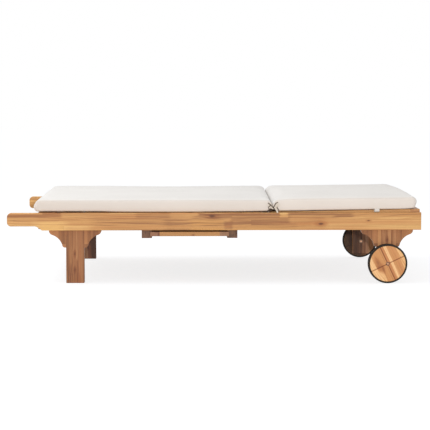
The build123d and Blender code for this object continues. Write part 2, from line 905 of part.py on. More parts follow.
# Fixed frame
for label, side in SIDES.items():
    side_rail(f"side_rail_{label}", side)
    leg(f"foot_leg_{label}", side, foot_leg_x, 0, False)
    leg(f"head_leg_{label}", side, head_leg_x, head_leg_ground_gap, True)
    ledger(f"seat_ledger_{label}", side)
    ratchet_rail(f"ratchet_rail_{label}", side)
cross_rail("foot_cross_rail", foot_cross_rail_x, cross_rail_bottom, deck_bottom)
cross_rail("hinge_cross_rail", hinge_cross_rail_x, cross_rail_bottom, deck_bottom)
cross_rail("head_cross_rail", head_cross_rail_x, cross_rail_bottom, head_cross_rail_top())
leg_brackets("leg_brackets")
seat_bearer("seat_centre_bearer")
for number in range(seat_slat_count):
    seat_slat(number)
screws("seat_slat_screws", seat_screw_places(), slat_screw_length)
frame_screw_places = rail_screw_places(NEAR) + rail_screw_places(FAR)
screws("frame_screws", frame_screw_places, frame_screw_length)
hinge_pins("hinge_pins")

# Side trays
for label, x in runner_places().items():
    tray_runner(f"tray_runner_{label}", x, 1 if x < tray_x else -1)
for label, side in SIDES.items():
    tray(f"tray_{label}", side)

# Wheels
for label, side in SIDES.items():
    wheel(f"wheel_{label}", side)
axle_bolts("axle_bolts")
axle_washers("axle_washers")
axle_nuts("axle_nuts")

# Reclining back
for label, side in SIDES.items():
    back_stile(f"back_stile_{label}", side)
back_bar("back_hinge_bar", hinge_bar_start, hinge_bar_width, hinge_bar_lift - stile_below_axis)
back_bar("back_head_bar", head_bar_start, head_bar_width, -stile_below_axis)
centre_batten("back_centre_batten")
for number in range(back_slat_count):
    back_slat(number)
screws("back_slat_screws", back_screw_places(), slat_screw_length)

# Prop frame
prop_pins("prop_pivot_pins")
for label, side in SIDES.items():
    prop_arm(f"prop_arm_{label}", side)
prop_bar("prop_foot_bar")

# Cushion
seat_cushion("seat_cushion")
cushion_fold("cushion_fold")
back_cushion("back_cushion")
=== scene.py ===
from math import cos, pi, radians, sin

import bmesh
import bpy
import numpy as np
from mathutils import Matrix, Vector


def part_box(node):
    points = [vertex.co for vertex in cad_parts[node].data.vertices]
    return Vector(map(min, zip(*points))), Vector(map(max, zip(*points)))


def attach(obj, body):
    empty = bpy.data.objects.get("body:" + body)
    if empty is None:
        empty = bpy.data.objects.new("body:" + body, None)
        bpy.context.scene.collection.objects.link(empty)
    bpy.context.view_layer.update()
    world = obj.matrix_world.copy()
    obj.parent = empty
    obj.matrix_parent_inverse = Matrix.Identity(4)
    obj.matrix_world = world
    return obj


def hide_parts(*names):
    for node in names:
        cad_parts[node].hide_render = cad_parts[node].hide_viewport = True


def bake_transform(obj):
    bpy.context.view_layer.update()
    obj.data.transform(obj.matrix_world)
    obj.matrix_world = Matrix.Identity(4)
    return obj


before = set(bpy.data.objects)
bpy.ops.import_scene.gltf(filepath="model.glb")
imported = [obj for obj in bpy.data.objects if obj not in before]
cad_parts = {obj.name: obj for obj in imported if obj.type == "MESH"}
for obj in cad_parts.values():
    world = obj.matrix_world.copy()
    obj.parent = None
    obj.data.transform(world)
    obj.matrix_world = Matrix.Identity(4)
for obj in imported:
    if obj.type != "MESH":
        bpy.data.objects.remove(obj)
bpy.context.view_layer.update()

# Double chaise lounger: oiled acacia staves, cart wheels and one wide mattress with a fold.
# All lengths are in metres. X runs to the head end, Y to the far side, Z up.

# Camera, fitted to the photograph
camera_place = (-0.1867, -8.8882, 0.9911)
camera_pitch = 4.451
camera_turn = 1.309
camera_lens = 136.65

# The bed, as the frame has it
hinge_x = 0.285
deck_height = 0.3623
back_lean = radians(1)

# Mattress
mattress_foot = -0.920
mattress_head = 1.0305
foot_skew = 0.008
head_skew = 0.022
mattress_half_width = 0.640
mattress_thickness = 0.063
mattress_top = deck_height + mattress_thickness
corner_round = 0.024
top_round = 0.012
low_round = 0.007
side_draw = 0.006
end_round = 0.020
end_drop = 0.004
crown_height = 0.008
back_swell = 0.0045
crease_near_x = 0.294
crease_far_x = 0.323
crease_top_reach = 0.027
crease_top_depth = 0.033
crease_low_reach = 0.040
crease_low_depth = 0.025
crease_side_draw = 0.012
end_reach = 0.06
skew_reach = 0.43
cell_length = 0.021
cells_across = 60
side_cuts = (0.25, 0.5, 0.75)
stitch_length = 0.007
slant_reach = 0.2
seam_depth = 0.0012
lip_height = 0.0004
fill_reach = 0.003
at_edge = 0.001

# Webbing round the stiles of the back, by its distance from the middle of the bed and its height
strap_x = 0.825
strap_width = 0.0245
strap_gap = 0.0004
strap_thickness = 0.0013
strap_round = 0.0028
stile_inside, stile_outside = 0.577, 0.609
stile_low, stile_high = 0.310, 0.362
tab_inside, tab_outside = 0.6125, 0.6415
tab_low, tab_high = 0.3655, 0.3785

# Tie tapes, and the dark sheet of painted shadow under the fold
tape_thickness = 0.0008
band_end = 0.2720
band_middle = 0.352
band_height = 0.028

# Steps away from the crease at which the mattress is cut across
CREASE_STEPS = (0, 0.0015, 0.004, 0.008, 0.013, 0.019, 0.026, 0.034, 0.044, 0.058)

# How the mattress lies: by share of its height, how far its ends draw in;
# by X, how much its far top edge sinks, its lower edges curl up and painted shade darkens its sides
FOOT_PROFILE = ((0.0, 0.010), (0.20, 0.005), (0.36, 0.0), (0.45, 0.002), (0.60, 0.006), (0.76, 0.012),
                (1.0, 0.017))
HEAD_PROFILE = ((0.0, 0.010), (0.15, 0.008), (0.30, 0.005), (0.45, 0.0), (0.70, 0.0), (0.86, 0.004), (1.0, 0.008))
FAR_SINK = ((-0.90, 0.0044), (-0.62, 0.0046), (-0.46, 0.0068), (-0.20, 0.0092), (0.12, 0.0060), (0.25, 0.0050),
            (0.41, 0.0055), (0.55, 0.0075), (0.76, 0.0082), (0.90, 0.0100), (1.03, 0.0088))
EDGE_CURL = ((-0.92, 0.0060), (-0.60, 0.0050), (-0.50, 0.0020), (-0.38, 0.0008), (-0.08, 0.0010), (0.03, 0.0028),
             (0.12, 0.0030), (0.20, 0.0042), (0.27, 0.0060), (0.33, 0.0065), (0.40, 0.0048), (0.95, 0.0030),
             (1.03, 0.0070))
SIDE_SHADE = ((-0.92, 1.0), (-0.72, 0.85), (-0.50, 0.7), (0.20, 0.7), (0.40, 0.55), (1.03, 0.55))

# Acacia tones, from light to dark
RAIL = ((0.765, 0.480, 0.195), (0.590, 0.312, 0.115), (0.335, 0.152, 0.060))
# Stiles of the back: the frame's wood with painted light, as they lie in the mattress's shade
LIT_STILE = ((0.760, 0.490, 0.250), (0.600, 0.340, 0.160), (0.360, 0.170, 0.080))
LEG = ((0.560, 0.287, 0.128), (0.362, 0.163, 0.066), (0.160, 0.064, 0.028))
# Tones of a leg's inner face: painted shade, darker than the same wood outside
LEG_INSIDE_SHADE = ((0.470, 0.265, 0.155), (0.245, 0.118, 0.062), (0.070, 0.026, 0.011))
BRACKET = ((0.640, 0.325, 0.147), (0.460, 0.212, 0.093), (0.250, 0.104, 0.044))
FRAME = ((0.560, 0.320, 0.160), (0.420, 0.215, 0.100), (0.230, 0.100, 0.050))
TRAY = ((0.640, 0.385, 0.160), (0.495, 0.265, 0.098), (0.320, 0.145, 0.052))
TRAY_END = ((0.330, 0.180, 0.105), (0.240, 0.122, 0.070), (0.150, 0.066, 0.036))
RUNNER = ((0.240, 0.130, 0.080), (0.170, 0.088, 0.054), (0.090, 0.046, 0.031))
WHEEL = ((0.975, 0.640, 0.325), (0.650, 0.322, 0.128), (0.520, 0.238, 0.092))
RED = (0.86, 0.62, 0.56)
GOLD = (1.06, 1.02, 0.80)


def take(piece):
    """Makes the piece the only selected one, and the active one."""
    bpy.ops.object.select_all(action="DESELECT")
    piece.select_set(True)
    bpy.context.view_layer.objects.active = piece


def settled(name, size=(1, 1, 1)):
    """Names and sizes the primitive just added."""
    piece = bpy.context.object
    piece.name = name
    piece.data.name = name
    piece.scale = size
    take(piece)
    bpy.ops.object.transform_apply(location=True, rotation=True, scale=True)
    return piece


def block(name, middle, size):
    bpy.ops.mesh.primitive_cube_add(size=1, location=middle)
    return settled(name, size)


def covered(piece, cloth):
    piece.data.materials.append(cloth)


def placed(name, content, place=(0, 0, 0)):
    """Puts a curve, a lamp or a camera into the scene."""
    holder = bpy.data.objects.new(name, content)
    bpy.context.scene.collection.objects.link(holder)
    holder.location = place
    return holder


def pick(piece, kind, test):
    """In edit mode, selects only the edges, by their two ends, or the faces, by middle and normal, that pass."""
    bpy.ops.mesh.select_all(action="DESELECT")
    bpy.ops.mesh.select_mode(type=kind)
    mesh = bmesh.from_edit_mesh(piece.data)
    for part in mesh.edges if kind == "EDGE" else mesh.faces:
        seen = [end.co for end in part.verts] if kind == "EDGE" else (part.calc_center_median(), part.normal)
        part.select_set(test(*seen))
    mesh.select_flush_mode()
    bmesh.update_edit_mesh(piece.data)


def finish_with(piece, kind, **settings):
    """Adds a modifier to the piece, which is the active one, and applies it."""
    modifier = piece.modifiers.new(kind.lower(), kind)
    for name, value in settings.items():
        setattr(modifier, name, value)
    bpy.ops.object.modifier_apply(modifier=modifier.name)


def round_edges(piece, offset, test, segments=4):
    pick(piece, "EDGE", test)
    bpy.ops.mesh.bevel(offset=offset, segments=segments, profile=0.5)


def points_of(piece):
    places = np.empty(len(piece.data.vertices) * 3)
    piece.data.vertices.foreach_get("co", places)
    return places.reshape(-1, 3)


def place_points(piece, places):
    piece.data.vertices.foreach_set("co", places.ravel())
    piece.data.update()


class Shade:
    """The nodes of a material or group. Each method adds a node and returns the socket that it gives."""

    def __init__(self, tree):
        self.tree = tree

    def add(self, kind, feeds=None, **settings):
        node = self.tree.nodes.new(kind)
        for name, value in settings.items():
            setattr(node, name, value)
        self.feeds(node, feeds or {})
        return node

    def feed(self, socket, value):
        if isinstance(value, bpy.types.NodeSocket):
            self.tree.links.new(value, socket)
        elif socket.type == "RGBA" and len(value) == 3:
            socket.default_value = (*value, 1)
        else:
            socket.default_value = value

    def feeds(self, node, values):
        for key, value in values.items():
            self.feed(node.inputs[key], value)

    def place(self):
        return self.add("ShaderNodeTexCoord").outputs["Object"]

    def calc(self, operation, *values, clamp=False):
        return self.add("ShaderNodeMath", dict(enumerate(values)), operation=operation, use_clamp=clamp).outputs[0]

    def plus(self, *values):
        return self.calc("ADD", *values)

    def minus(self, *values):
        return self.calc("SUBTRACT", *values)

    def times(self, *values, clamp=False):
        return self.calc("MULTIPLY", *values, clamp=clamp)

    def ratio(self, *values):
        return self.calc("DIVIDE", *values)

    def least(self, *values):
        return self.calc("MINIMUM", *values)

    def most(self, *values, clamp=False):
        return self.calc("MAXIMUM", *values, clamp=clamp)

    def vector(self, operation, *values):
        return self.add("ShaderNodeVectorMath", dict(enumerate(values)), operation=operation).outputs["Vector"]

    def split(self, vector):
        return self.add("ShaderNodeSeparateXYZ", {0: vector}).outputs[:3]

    def join(self, x, y, z):
        return self.add("ShaderNodeCombineXYZ", {0: x, 1: y, 2: z}).outputs[0]

    def stretch(self, vector, scale):
        return self.vector("MULTIPLY", vector, scale)

    def noise(self, vector, detail, roughness=0.5, distortion=0.0, scale=None):
        if scale:
            vector = self.stretch(vector, scale)
        feeds = {"Vector": vector, "Scale": 1, "Detail": detail, "Roughness": roughness, "Distortion": distortion}
        return self.add("ShaderNodeTexNoise", feeds).outputs[0]

    def random(self, vector):
        return self.add("ShaderNodeTexWhiteNoise", {"Vector": vector}).outputs

    def ease(self, value, low, high, start=0.0, end=1.0):
        """Turns smoothly from start to end as the value goes from low to high."""
        feeds = {"Value": value, "From Min": low, "From Max": high, "To Min": start, "To Max": end}
        return self.add("ShaderNodeMapRange", feeds, interpolation_type="SMOOTHSTEP").outputs[0]

    def scaled(self, value, amount, offset=0.0):
        return self.calc("MULTIPLY_ADD", value, amount, offset)

    def mix(self, share, first, second, way="MIX"):
        node = self.add("ShaderNodeMix", {0: share, 6: first, 7: second}, data_type="RGBA", blend_type=way)
        return node.outputs[2]

    def toned(self, share, color, factor):
        """By the share, turns the colour to itself times the factor."""
        return self.mix(share, color, self.mix(1.0, color, factor, "MULTIPLY"))

    def relief(self, strength, distance, height):
        """The normal of a surface with fine relief."""
        feeds = {"Strength": strength, "Distance": distance, "Height": height}
        return self.add("ShaderNodeBump", feeds).outputs[0]

    def seen_or_lighting(self, lighting, seen):
        """Shows one shader to the camera, also in a mirror or through glass, and lights the scene with another."""
        rays = self.add("ShaderNodeLightPath").outputs
        direct = self.most(rays["Is Camera Ray"], self.most(rays["Is Glossy Ray"], rays["Is Transmission Ray"]))
        return self.add("ShaderNodeMixShader", {0: direct, 1: lighting, 2: seen}).outputs[0]

    def use(self, group, **feeds):
        node = self.add("ShaderNodeGroup", node_tree=group)
        for name, value in feeds.items():
            self.feed(node.inputs[name.replace("_", " ").title()], value)
        return node.outputs


def new_group(name, inputs, outputs):
    """A node group with named inputs (name: default) and outputs (name: kind), the shade that adds nodes to
    it, what it is given, and the node that takes its result."""
    group = bpy.data.node_groups.new(name, "ShaderNodeTree")
    for label, value in inputs.items():
        if isinstance(value, tuple):
            kind = "NodeSocketColor" if len(value) == 4 else "NodeSocketVector"
        else:
            kind = "NodeSocketFloat"
        socket = group.interface.new_socket(label, in_out="INPUT", socket_type=kind)
        socket.default_value = value
    for label, kind in outputs.items():
        group.interface.new_socket(label, in_out="OUTPUT", socket_type=f"NodeSocket{kind}")
    given = group.nodes.new("NodeGroupInput").outputs
    return group, Shade(group), given, group.nodes.new("NodeGroupOutput")


def edge_wear_group():
    """How near a point on a squared board is to the board's edges, from 0 on its faces to 1."""
    inputs = {"Vector": (0, 0, 0), "Low": (0, 0, 0), "High": (1, 1, 1), "Width": 0.004}
    group, shade, given, result = new_group("edge_wear", inputs, {"Wear": "Float"})
    to_low = shade.split(shade.vector("SUBTRACT", given["Vector"], given["Low"]))
    to_high = shade.split(shade.vector("SUBTRACT", given["High"], given["Vector"]))
    to_x, to_y, to_z = [shade.least(low, high) for low, high in zip(to_low, to_high)]
    nearer, further = shade.least(to_x, to_y), shade.most(to_x, to_y)
    second = shade.most(nearer, shade.least(further, to_z))
    uneven = shade.noise(given["Vector"], 2, scale=(60, 60, 60))
    reach = shade.times(given["Width"], shade.scaled(uneven, 1.6, 0.2))
    shade.feeds(result, {"Wear": shade.ease(shade.ratio(second, reach), 1.0, 0.2)})
    return group


def knot_group():
    """A knot: the grain parts round it, and its heart is dark. X runs along the grain."""
    inputs = {"Vector": (0, 0, 0), "Centre": (0, 0, 0), "Size": 0.006}
    outputs = {"Vector": "Vector", "Heart": "Float", "Halo": "Float"}
    group, shade, given, result = new_group("knot", inputs, outputs)
    away = shade.vector("SUBTRACT", given["Vector"], given["Centre"])
    dx, dy, _ = shade.split(away)
    along = shade.ratio(dx, shade.times(given["Size"], 2.4))
    across = shade.ratio(dy, given["Size"])
    uneven = shade.scaled(shade.noise(away, 2, scale=(300, 300, 0)), 0.9, -0.45)
    distance = shade.calc("SQRT", shade.plus(shade.calc("POWER", along, 2.0), shade.calc("POWER", across, 2.0)))
    swell = shade.calc("EXPONENT", shade.times(shade.calc("POWER", distance, 2.0), -0.16))
    parted = shade.times(shade.times(dy, swell), -0.85)
    rough_distance = shade.plus(distance, uneven)
    shade.feeds(result, {
        "Vector": shade.vector("ADD", given["Vector"], shade.join(0.0, parted, 0.0)),
        "Heart": shade.ease(rough_distance, 0.95, 0.35),
        "Halo": shade.ease(rough_distance, 2.6, 0.8),
    })
    return group


def stave_group():
    """Picks out one stave, a block along X and Y with a wandering edge."""
    inputs = {"Vector": (0, 0, 0), "Low": (0, 0, 0), "High": (1, 1, 0), "Soft": 0.001}
    group, shade, given, result = new_group("stave", inputs, {"Mask": "Float"})
    wander = shade.noise(given["Vector"], 2, scale=(7, 30, 0))
    shift = shade.scaled(wander, 4.0, -2.0)
    x, y, _ = shade.split(given["Vector"])
    low_x, low_y, _ = shade.split(given["Low"])
    high_x, high_y, _ = shade.split(given["High"])
    moved = shade.plus(y, shade.times(shift, given["Soft"]))
    from_ends = shade.scaled(shade.least(shade.minus(x, low_x), shade.minus(high_x, x)), 0.07)
    from_sides = shade.least(shade.minus(moved, low_y), shade.minus(high_y, moved))
    nearest = shade.least(from_ends, from_sides)
    shade.feeds(result, {"Mask": shade.ease(shade.ratio(nearest, given["Soft"]), -0.5, 0.5)})
    return group


def acacia_group():
    """Oiled acacia in glued staves. X runs along the grain and Y across the staves."""
    inputs = {
        "Vector": (0, 0, 0), "Stave Length": 0.6, "Stave Width": 0.03, "Seed": 0.0,
        "Tone": 0.0, "Redness": 0.0, "Variety": 1.0, "Figure": 1.0,
        "Light": (1, 1, 1, 1), "Middle": (0.5, 0.5, 0.5, 1), "Dark": (0, 0, 0, 1),
    }
    outputs = {"Color": "Color", "Roughness": "Float", "Height": "Float"}
    group, shade, given, result = new_group("acacia", inputs, outputs)
    x, y, _ = shade.split(given["Vector"])

    # Which stave a point is in, and the stave's own luck
    rows = shade.plus(shade.ratio(y, given["Stave Width"]), shade.times(given["Seed"], 7.31))
    row = shade.calc("FLOOR", rows)
    row_luck = shade.random(shade.join(row, given["Seed"], 3.0))[0]
    columns = shade.plus(shade.ratio(x, given["Stave Length"]), shade.scaled(row_luck, 5.0))
    column = shade.calc("FLOOR", columns)
    luck = shade.random(shade.join(row, column, given["Seed"]))[1]
    lightness, hue, figure = shade.split(luck)

    # Glue lines between the staves
    across_joint = shade.calc("PINGPONG", rows, 0.5)
    along_joint = shade.calc("PINGPONG", columns, 0.5)
    joint = shade.most(shade.ease(shade.times(across_joint, given["Stave Width"]), 0.0006, 0.0001),
                       shade.ease(shade.times(along_joint, given["Stave Length"]), 0.0006, 0.0001))

    # The grain wanders, and each stave is cut from another place in the tree
    cut = shade.vector("ADD", given["Vector"], shade.vector("MULTIPLY", luck, (9.0, 3.0, 5.0)))
    wander = shade.scaled(shade.noise(cut, 2, scale=(1.7, 6.0, 6.0)), 0.030, -0.015)
    grain = shade.vector("ADD", cut, shade.join(0.0, wander, wander))
    broad = shade.noise(grain, 4, roughness=0.55, distortion=0.15, scale=(0.9, 46.0, 30.0))
    fine = shade.noise(grain, 4, roughness=0.65, scale=(4.0, 420.0, 260.0))
    streak = shade.noise(grain, 3, roughness=0.6, scale=(1.6, 110.0, 70.0))
    grain_y = shade.split(grain)[1]
    arch = shade.noise(cut, 1, scale=(1.1, 9.0, 9.0))
    rings = shade.calc("FRACT", shade.plus(shade.scaled(grain_y, 95.0), shade.scaled(arch, 9.0)))
    late_wood = shade.times(shade.ease(rings, 0.55, 0.92), shade.ease(rings, 1.0, 0.94))
    late_wood = shade.times(late_wood, shade.ease(figure, 0.35, 0.8, 0.25, 1.0))
    pores = shade.ease(shade.noise(grain, 1, scale=(75.0, 1500.0, 1500.0)), 0.60, 0.74)

    # Colour
    tone = shade.scaled(broad, 1.5, -0.75)
    tone = shade.plus(tone, shade.scaled(streak, 0.7, -0.35))
    tone = shade.plus(tone, shade.scaled(fine, 0.5, -0.25))
    tone = shade.scaled(tone, given["Figure"], 0.5)
    own = shade.times(shade.scaled(lightness, 0.7, -0.35), given["Variety"])
    tone = shade.plus(shade.plus(tone, own), shade.scaled(given["Tone"], 0.5))
    tone = shade.minus(tone, shade.scaled(late_wood, 0.24))
    low_half = shade.mix(shade.ease(tone, 0.0, 0.5), given["Dark"], given["Middle"])
    color = shade.mix(shade.ease(tone, 0.5, 1.0), low_half, given["Light"])
    reddish = shade.times(shade.scaled(hue, 1.3, -0.6), given["Variety"])
    red_streak = shade.ease(shade.noise(grain, 2, scale=(1.2, 60.0, 40.0)), 0.50, 0.72, 0.0, 0.55)
    reddish = shade.plus(shade.plus(reddish, red_streak), given["Redness"])
    color = shade.toned(shade.most(reddish, 0.0, clamp=True), color, RED)
    golden = shade.times(reddish, -1.0, clamp=True)
    color = shade.toned(golden, color, GOLD)
    color = shade.toned(shade.scaled(pores, 0.30), color, (0.45, 0.36, 0.30))
    color = shade.toned(shade.scaled(joint, 0.45), color, (0.35, 0.27, 0.22))

    # Oiled surface: pores are a little duller, and pores and glue lines lie lower
    roughness = shade.plus(shade.scaled(fine, 0.16, 0.40), shade.scaled(pores, 0.15))
    height = shade.plus(shade.scaled(fine, 0.5), shade.scaled(late_wood, 0.3))
    height = shade.minus(height, shade.scaled(pores, 0.7))
    height = shade.minus(height, shade.scaled(joint, 1.2))
    shade.feeds(result, {"Color": color, "Roughness": roughness, "Height": height})
    return group


def weave_group():
    """A plain weave of fine yarn with thicker slubs here and there."""
    inputs = {"Vector": (0, 0, 0), "Pitch": 0.0012}
    outputs = {"Height": "Float", "Slub": "Float", "Cloud": "Float"}
    group, shade, given, result = new_group("weave", inputs, outputs)
    x, y, z = shade.split(given["Vector"])
    lean = shade.scaled(shade.noise(given["Vector"], 2, scale=(9, 9, 9)), 0.004)
    warp = shade.plus(shade.plus(x, z), lean)
    weft = shade.plus(shade.plus(y, z), lean)
    turn = shade.ratio(2 * pi, given["Pitch"])
    over = shade.calc("SINE", shade.times(warp, turn))
    under = shade.calc("SINE", shade.times(weft, turn))
    crossing = shade.times(over, under)
    yarn = shade.join(shade.times(warp, 28.0), shade.times(weft, 950.0), 0.0)
    other = shade.join(shade.times(warp, 950.0), shade.times(weft, 28.0), 7.0)
    slub = shade.most(shade.noise(yarn, 2), shade.noise(other, 2))
    thick = shade.ease(slub, 0.55, 0.75)
    height = shade.plus(shade.scaled(crossing, 0.5), thick)
    cloud = shade.noise(given["Vector"], 4, scale=(3.2, 3.2, 3.2))
    shade.feeds(result, {"Height": height, "Slub": thick, "Cloud": cloud})
    return group


def scuff_group():
    """Fine scratches and dull patches for metal, rubber and moulded parts."""
    inputs = {"Vector": (0, 0, 0), "Fineness": 900.0}
    group, shade, given, result = new_group("scuff", inputs, {"Scratch": "Float", "Patch": "Float"})
    scaled = shade.stretch(given["Vector"], given["Fineness"])
    long_way = shade.noise(scaled, 3, roughness=0.7, scale=(0.08, 1.0, 1.0))
    other_way = shade.noise(scaled, 3, roughness=0.7, scale=(1.0, 0.08, 1.0))
    patch = shade.noise(given["Vector"], 4, scale=(70, 70, 70))
    shade.feeds(result, {"Scratch": shade.most(long_way, other_way), "Patch": patch})
    return group


EDGE_WEAR = edge_wear_group()
KNOT = knot_group()
STAVE = stave_group()
ACACIA = acacia_group()
WEAVE = weave_group()
SCUFF = scuff_group()


def new_material(name):
    """A material, the shade that adds nodes to it, and the node of its surface."""
    material = bpy.data.materials.new(name)
    material.use_nodes = True
    return material, Shade(material.node_tree), material.node_tree.nodes["Principled BSDF"]


def dress(material, *names):
    """Gives CAD nodes a material."""
    for name in names:
        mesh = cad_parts[name].data
        mesh.materials.clear()
        mesh.materials.append(material)


# How the grain of a plain board runs: the turn that brings it along X and the face's width along Y
GRAIN_TURNS = {
    "along": (0.0, 0.0, 0.0),
    "upright": (0.0, radians(90), 0.0),
    "across": (0.0, 0.0, radians(-90)),
}


def plain(way, tone=0.0):
    """Marks for a board that has no staves or knots of its own."""

    def marks_on(shade, place):
        turned = shade.add("ShaderNodeMapping", {0: place, 2: GRAIN_TURNS[way]}).outputs[0]
        return {"vector": turned, "tone": tone, "redness": 0.0}

    return marks_on


def wood(node, tones, marks_on, length, width, seed, variety=1.0, figure=1.0, knot_depth=0.85, beyond=(0, 0, 0)):
    """Dresses a CAD node in acacia. marks_on gives its grain, tone and knots; length, width and seed are those
    of its glued staves. The edges of its box are worn, or of a box that reaches beyond it."""
    material, shade, surface = new_material(f"{node}_acacia")
    place = shade.place()
    marks = marks_on(shade, place)
    light, middle, dark = marks.get("tones", tones)
    grain = shade.use(ACACIA, vector=marks["vector"], stave_length=length, stave_width=width, seed=seed,
                      tone=marks["tone"], redness=marks["redness"], variety=variety, figure=figure,
                      light=light, middle=middle, dark=dark)
    low = tuple(edge - more for edge, more in zip(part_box(node)[0], beyond))
    high = tuple(edge + more for edge, more in zip(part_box(node)[1], beyond))
    worn = shade.use(EDGE_WEAR, vector=place, low=low, high=high)["Wear"]
    color = shade.toned(shade.scaled(worn, 0.11), grain["Color"], (1.35, 1.3, 1.25))
    if "heart" in marks:
        color = shade.toned(shade.scaled(marks["halo"], 0.55), color, (0.62, 0.42, 0.34))
        color = shade.mix(shade.scaled(marks["heart"], knot_depth), color, (0.095, 0.030, 0.015))
    # The inner mark is painted shade on a wheel's inner face
    for mark, depth, dimmed in (("groove", 0.85, (0.40, 0.25, 0.17)), ("inner", 1.0, (0.08, 0.06, 0.05))):
        if mark in marks:
            color = shade.toned(shade.scaled(marks[mark], depth), color, dimmed)
    shade.feeds(surface, {
        "Base Color": color,
        "Roughness": shade.plus(grain["Roughness"], shade.scaled(worn, 0.08)),
        "Specular IOR Level": 0.35,
        "Normal": shade.relief(0.25, 0.0006, grain["Height"]),
    })
    dress(material, node)


def long_face(shade, place):
    """The coordinates of a board seen from its long side: X along it and Z turned to Y."""
    x, y, z = shade.split(place)
    return shade.join(x, z, y)


def post_face(shade, place):
    """The coordinates of an upright board: Z along it and X turned to Y."""
    x, y, z = shade.split(place)
    return shade.join(z, x, y)


def with_knots(shade, vector, knots):
    """Bends the grain round each knot, given as its place along, its place across and its size."""
    heart = halo = None
    for along, across, size in knots:
        knot = shade.use(KNOT, vector=vector, centre=(along, across, 0), size=size)
        vector = knot["Vector"]
        heart = knot["Heart"] if heart is None else shade.most(heart, knot["Heart"])
        halo = knot["Halo"] if halo is None else shade.most(halo, knot["Halo"])
    return vector, heart, halo


# Staves of a side rail that stand out: from X, to X, from Z, to Z, tone, redness, softness
RAIL_STAVES = (
    (-0.772, -0.400, 0.336, 0.366, 0.12, -0.15, 0.0016),
    (-0.620, -0.228, 0.266, 0.333, -0.22, -0.15, 0.0060),
    (-0.400, -0.225, 0.336, 0.366, -0.35, -0.15, 0.0030),
    (-0.225, -0.080, 0.331, 0.366, 0.12, -0.10, 0.0012),
    (-0.250, 0.049, 0.266, 0.331, -0.40, -0.15, 0.0040),
    (-0.110, 0.380, 0.331, 0.348, -0.50, -0.10, 0.0030),
    (-0.080, 0.330, 0.346, 0.3575, -1.30, 0.05, 0.0020),
    # Lighter top edge: partly pale wear, partly painted light where the mattress shades it
    (-0.080, 0.330, 0.3575, 0.370, 0.20, 0.00, 0.0012),
    (0.330, 0.372, 0.336, 0.366, 0.75, -0.20, 0.0006),
    (-0.120, 0.049, 0.266, 0.326, 0.15, -0.35, 0.0030),
    (0.047, 0.090, 0.276, 0.318, -0.50, 0.20, 0.0012),
    (0.080, 0.380, 0.308, 0.331, -0.55, 0.00, 0.0020),
    (0.080, 0.420, 0.266, 0.308, -0.28, -0.15, 0.0030),
    (0.372, 0.610, 0.349, 0.370, -0.95, -0.05, 0.0030),
    (0.372, 0.610, 0.338, 0.349, -0.15, -0.05, 0.0030),
    (0.610, 0.700, 0.338, 0.366, -0.70, -0.05, 0.0030),
    (0.400, 0.560, 0.266, 0.338, 0.00, 0.00, 0.0030),
    (0.560, 1.060, 0.266, 0.338, 0.42, -0.10, 0.0040),
)
NEAR_HANDLE_STAVES = (
    # Lighter top edge: partly pale wear, partly painted light where the mattress shades it
    (-1.060, 1.060, 0.3570, 0.370, 0.50, 0.00, 0.0010),
    (-1.060, -0.777, 0.338, 0.366, -0.42, 0.20, 0.0012),
    (-1.060, -0.900, 0.266, 0.338, 0.20, -0.10, 0.0040),
    (-0.900, -0.760, 0.266, 0.322, 0.80, -0.50, 0.0060),
    (-0.760, -0.620, 0.266, 0.322, 0.20, -0.20, 0.0060),
)
FAR_HANDLE_STAVES = ((-1.060, -0.777, 0.266, 0.366, 0.35, -0.50, 0.0016),)
RAIL_KNOTS = ((-0.0136, 0.3440, 0.0095), (0.5395, 0.3038, 0.0075), (0.7815, 0.3200, 0.0038))

# The same for the posts, from Z, to Z, from X, to X
FOOT_POST_STAVES = (
    (-0.010, 0.330, -0.758, -0.742, -0.10, 0.10, 0.0020),
    (0.100, 0.330, -0.738, -0.726, 0.30, -0.20, 0.0020),
    (0.120, 0.330, -0.704, -0.694, 0.45, -0.20, 0.0020),
    (-0.010, 0.100, -0.740, -0.690, -0.26, 0.20, 0.0080),
    (-0.010, 0.330, -0.684, -0.671, 0.05, -0.10, 0.0020),
    (-0.010, 0.330, -0.671, -0.650, -0.35, 0.10, 0.0020),
)
FOOT_POST_KNOTS = ((0.150, -0.7105, 0.0048), (0.068, -0.7105, 0.0044))
# Painted shade and shadow on the inner faces of the foot legs
FOOT_INSIDE_SHADE_STAVES = (
    (-0.010, 0.150, -0.760, -0.706, 0.15, -0.20, 0.0030),
    (0.110, 0.330, -0.706, -0.640, -2.00, 0.00, 0.0060),
    (-0.010, 0.110, -0.706, -0.640, -0.90, 0.30, 0.0060),
)
HEAD_POST_STAVES = (
    (0.000, 0.330, 0.820, 0.849, 2.20, -0.30, 0.0012),
    (0.000, 0.330, 0.849, 0.888, 0.35, 0.15, 0.0012),
    (0.000, 0.330, 0.888, 0.902, 1.20, -0.20, 0.0016),
    (0.000, 0.330, 0.902, 0.912, 0.00, 0.10, 0.0016),
    (0.000, 0.330, 0.912, 0.940, 0.60, 0.00, 0.0016),
)
HEAD_POST_KNOTS = ((0.2175, 0.882, 0.0050),)
# Staves of the head legs' inner faces, which carry painted shade
HEAD_INSIDE_SHADE_STAVES = (
    (0.000, 0.330, 0.800, 0.857, -0.75, 0.00, 0.0020),
    (0.000, 0.330, 0.857, 0.886, -0.35, 0.10, 0.0030),
    (0.000, 0.330, 0.886, 0.909, 0.25, 0.00, 0.0020),
    (0.000, 0.330, 0.909, 0.940, 1.40, -0.10, 0.0020),
)


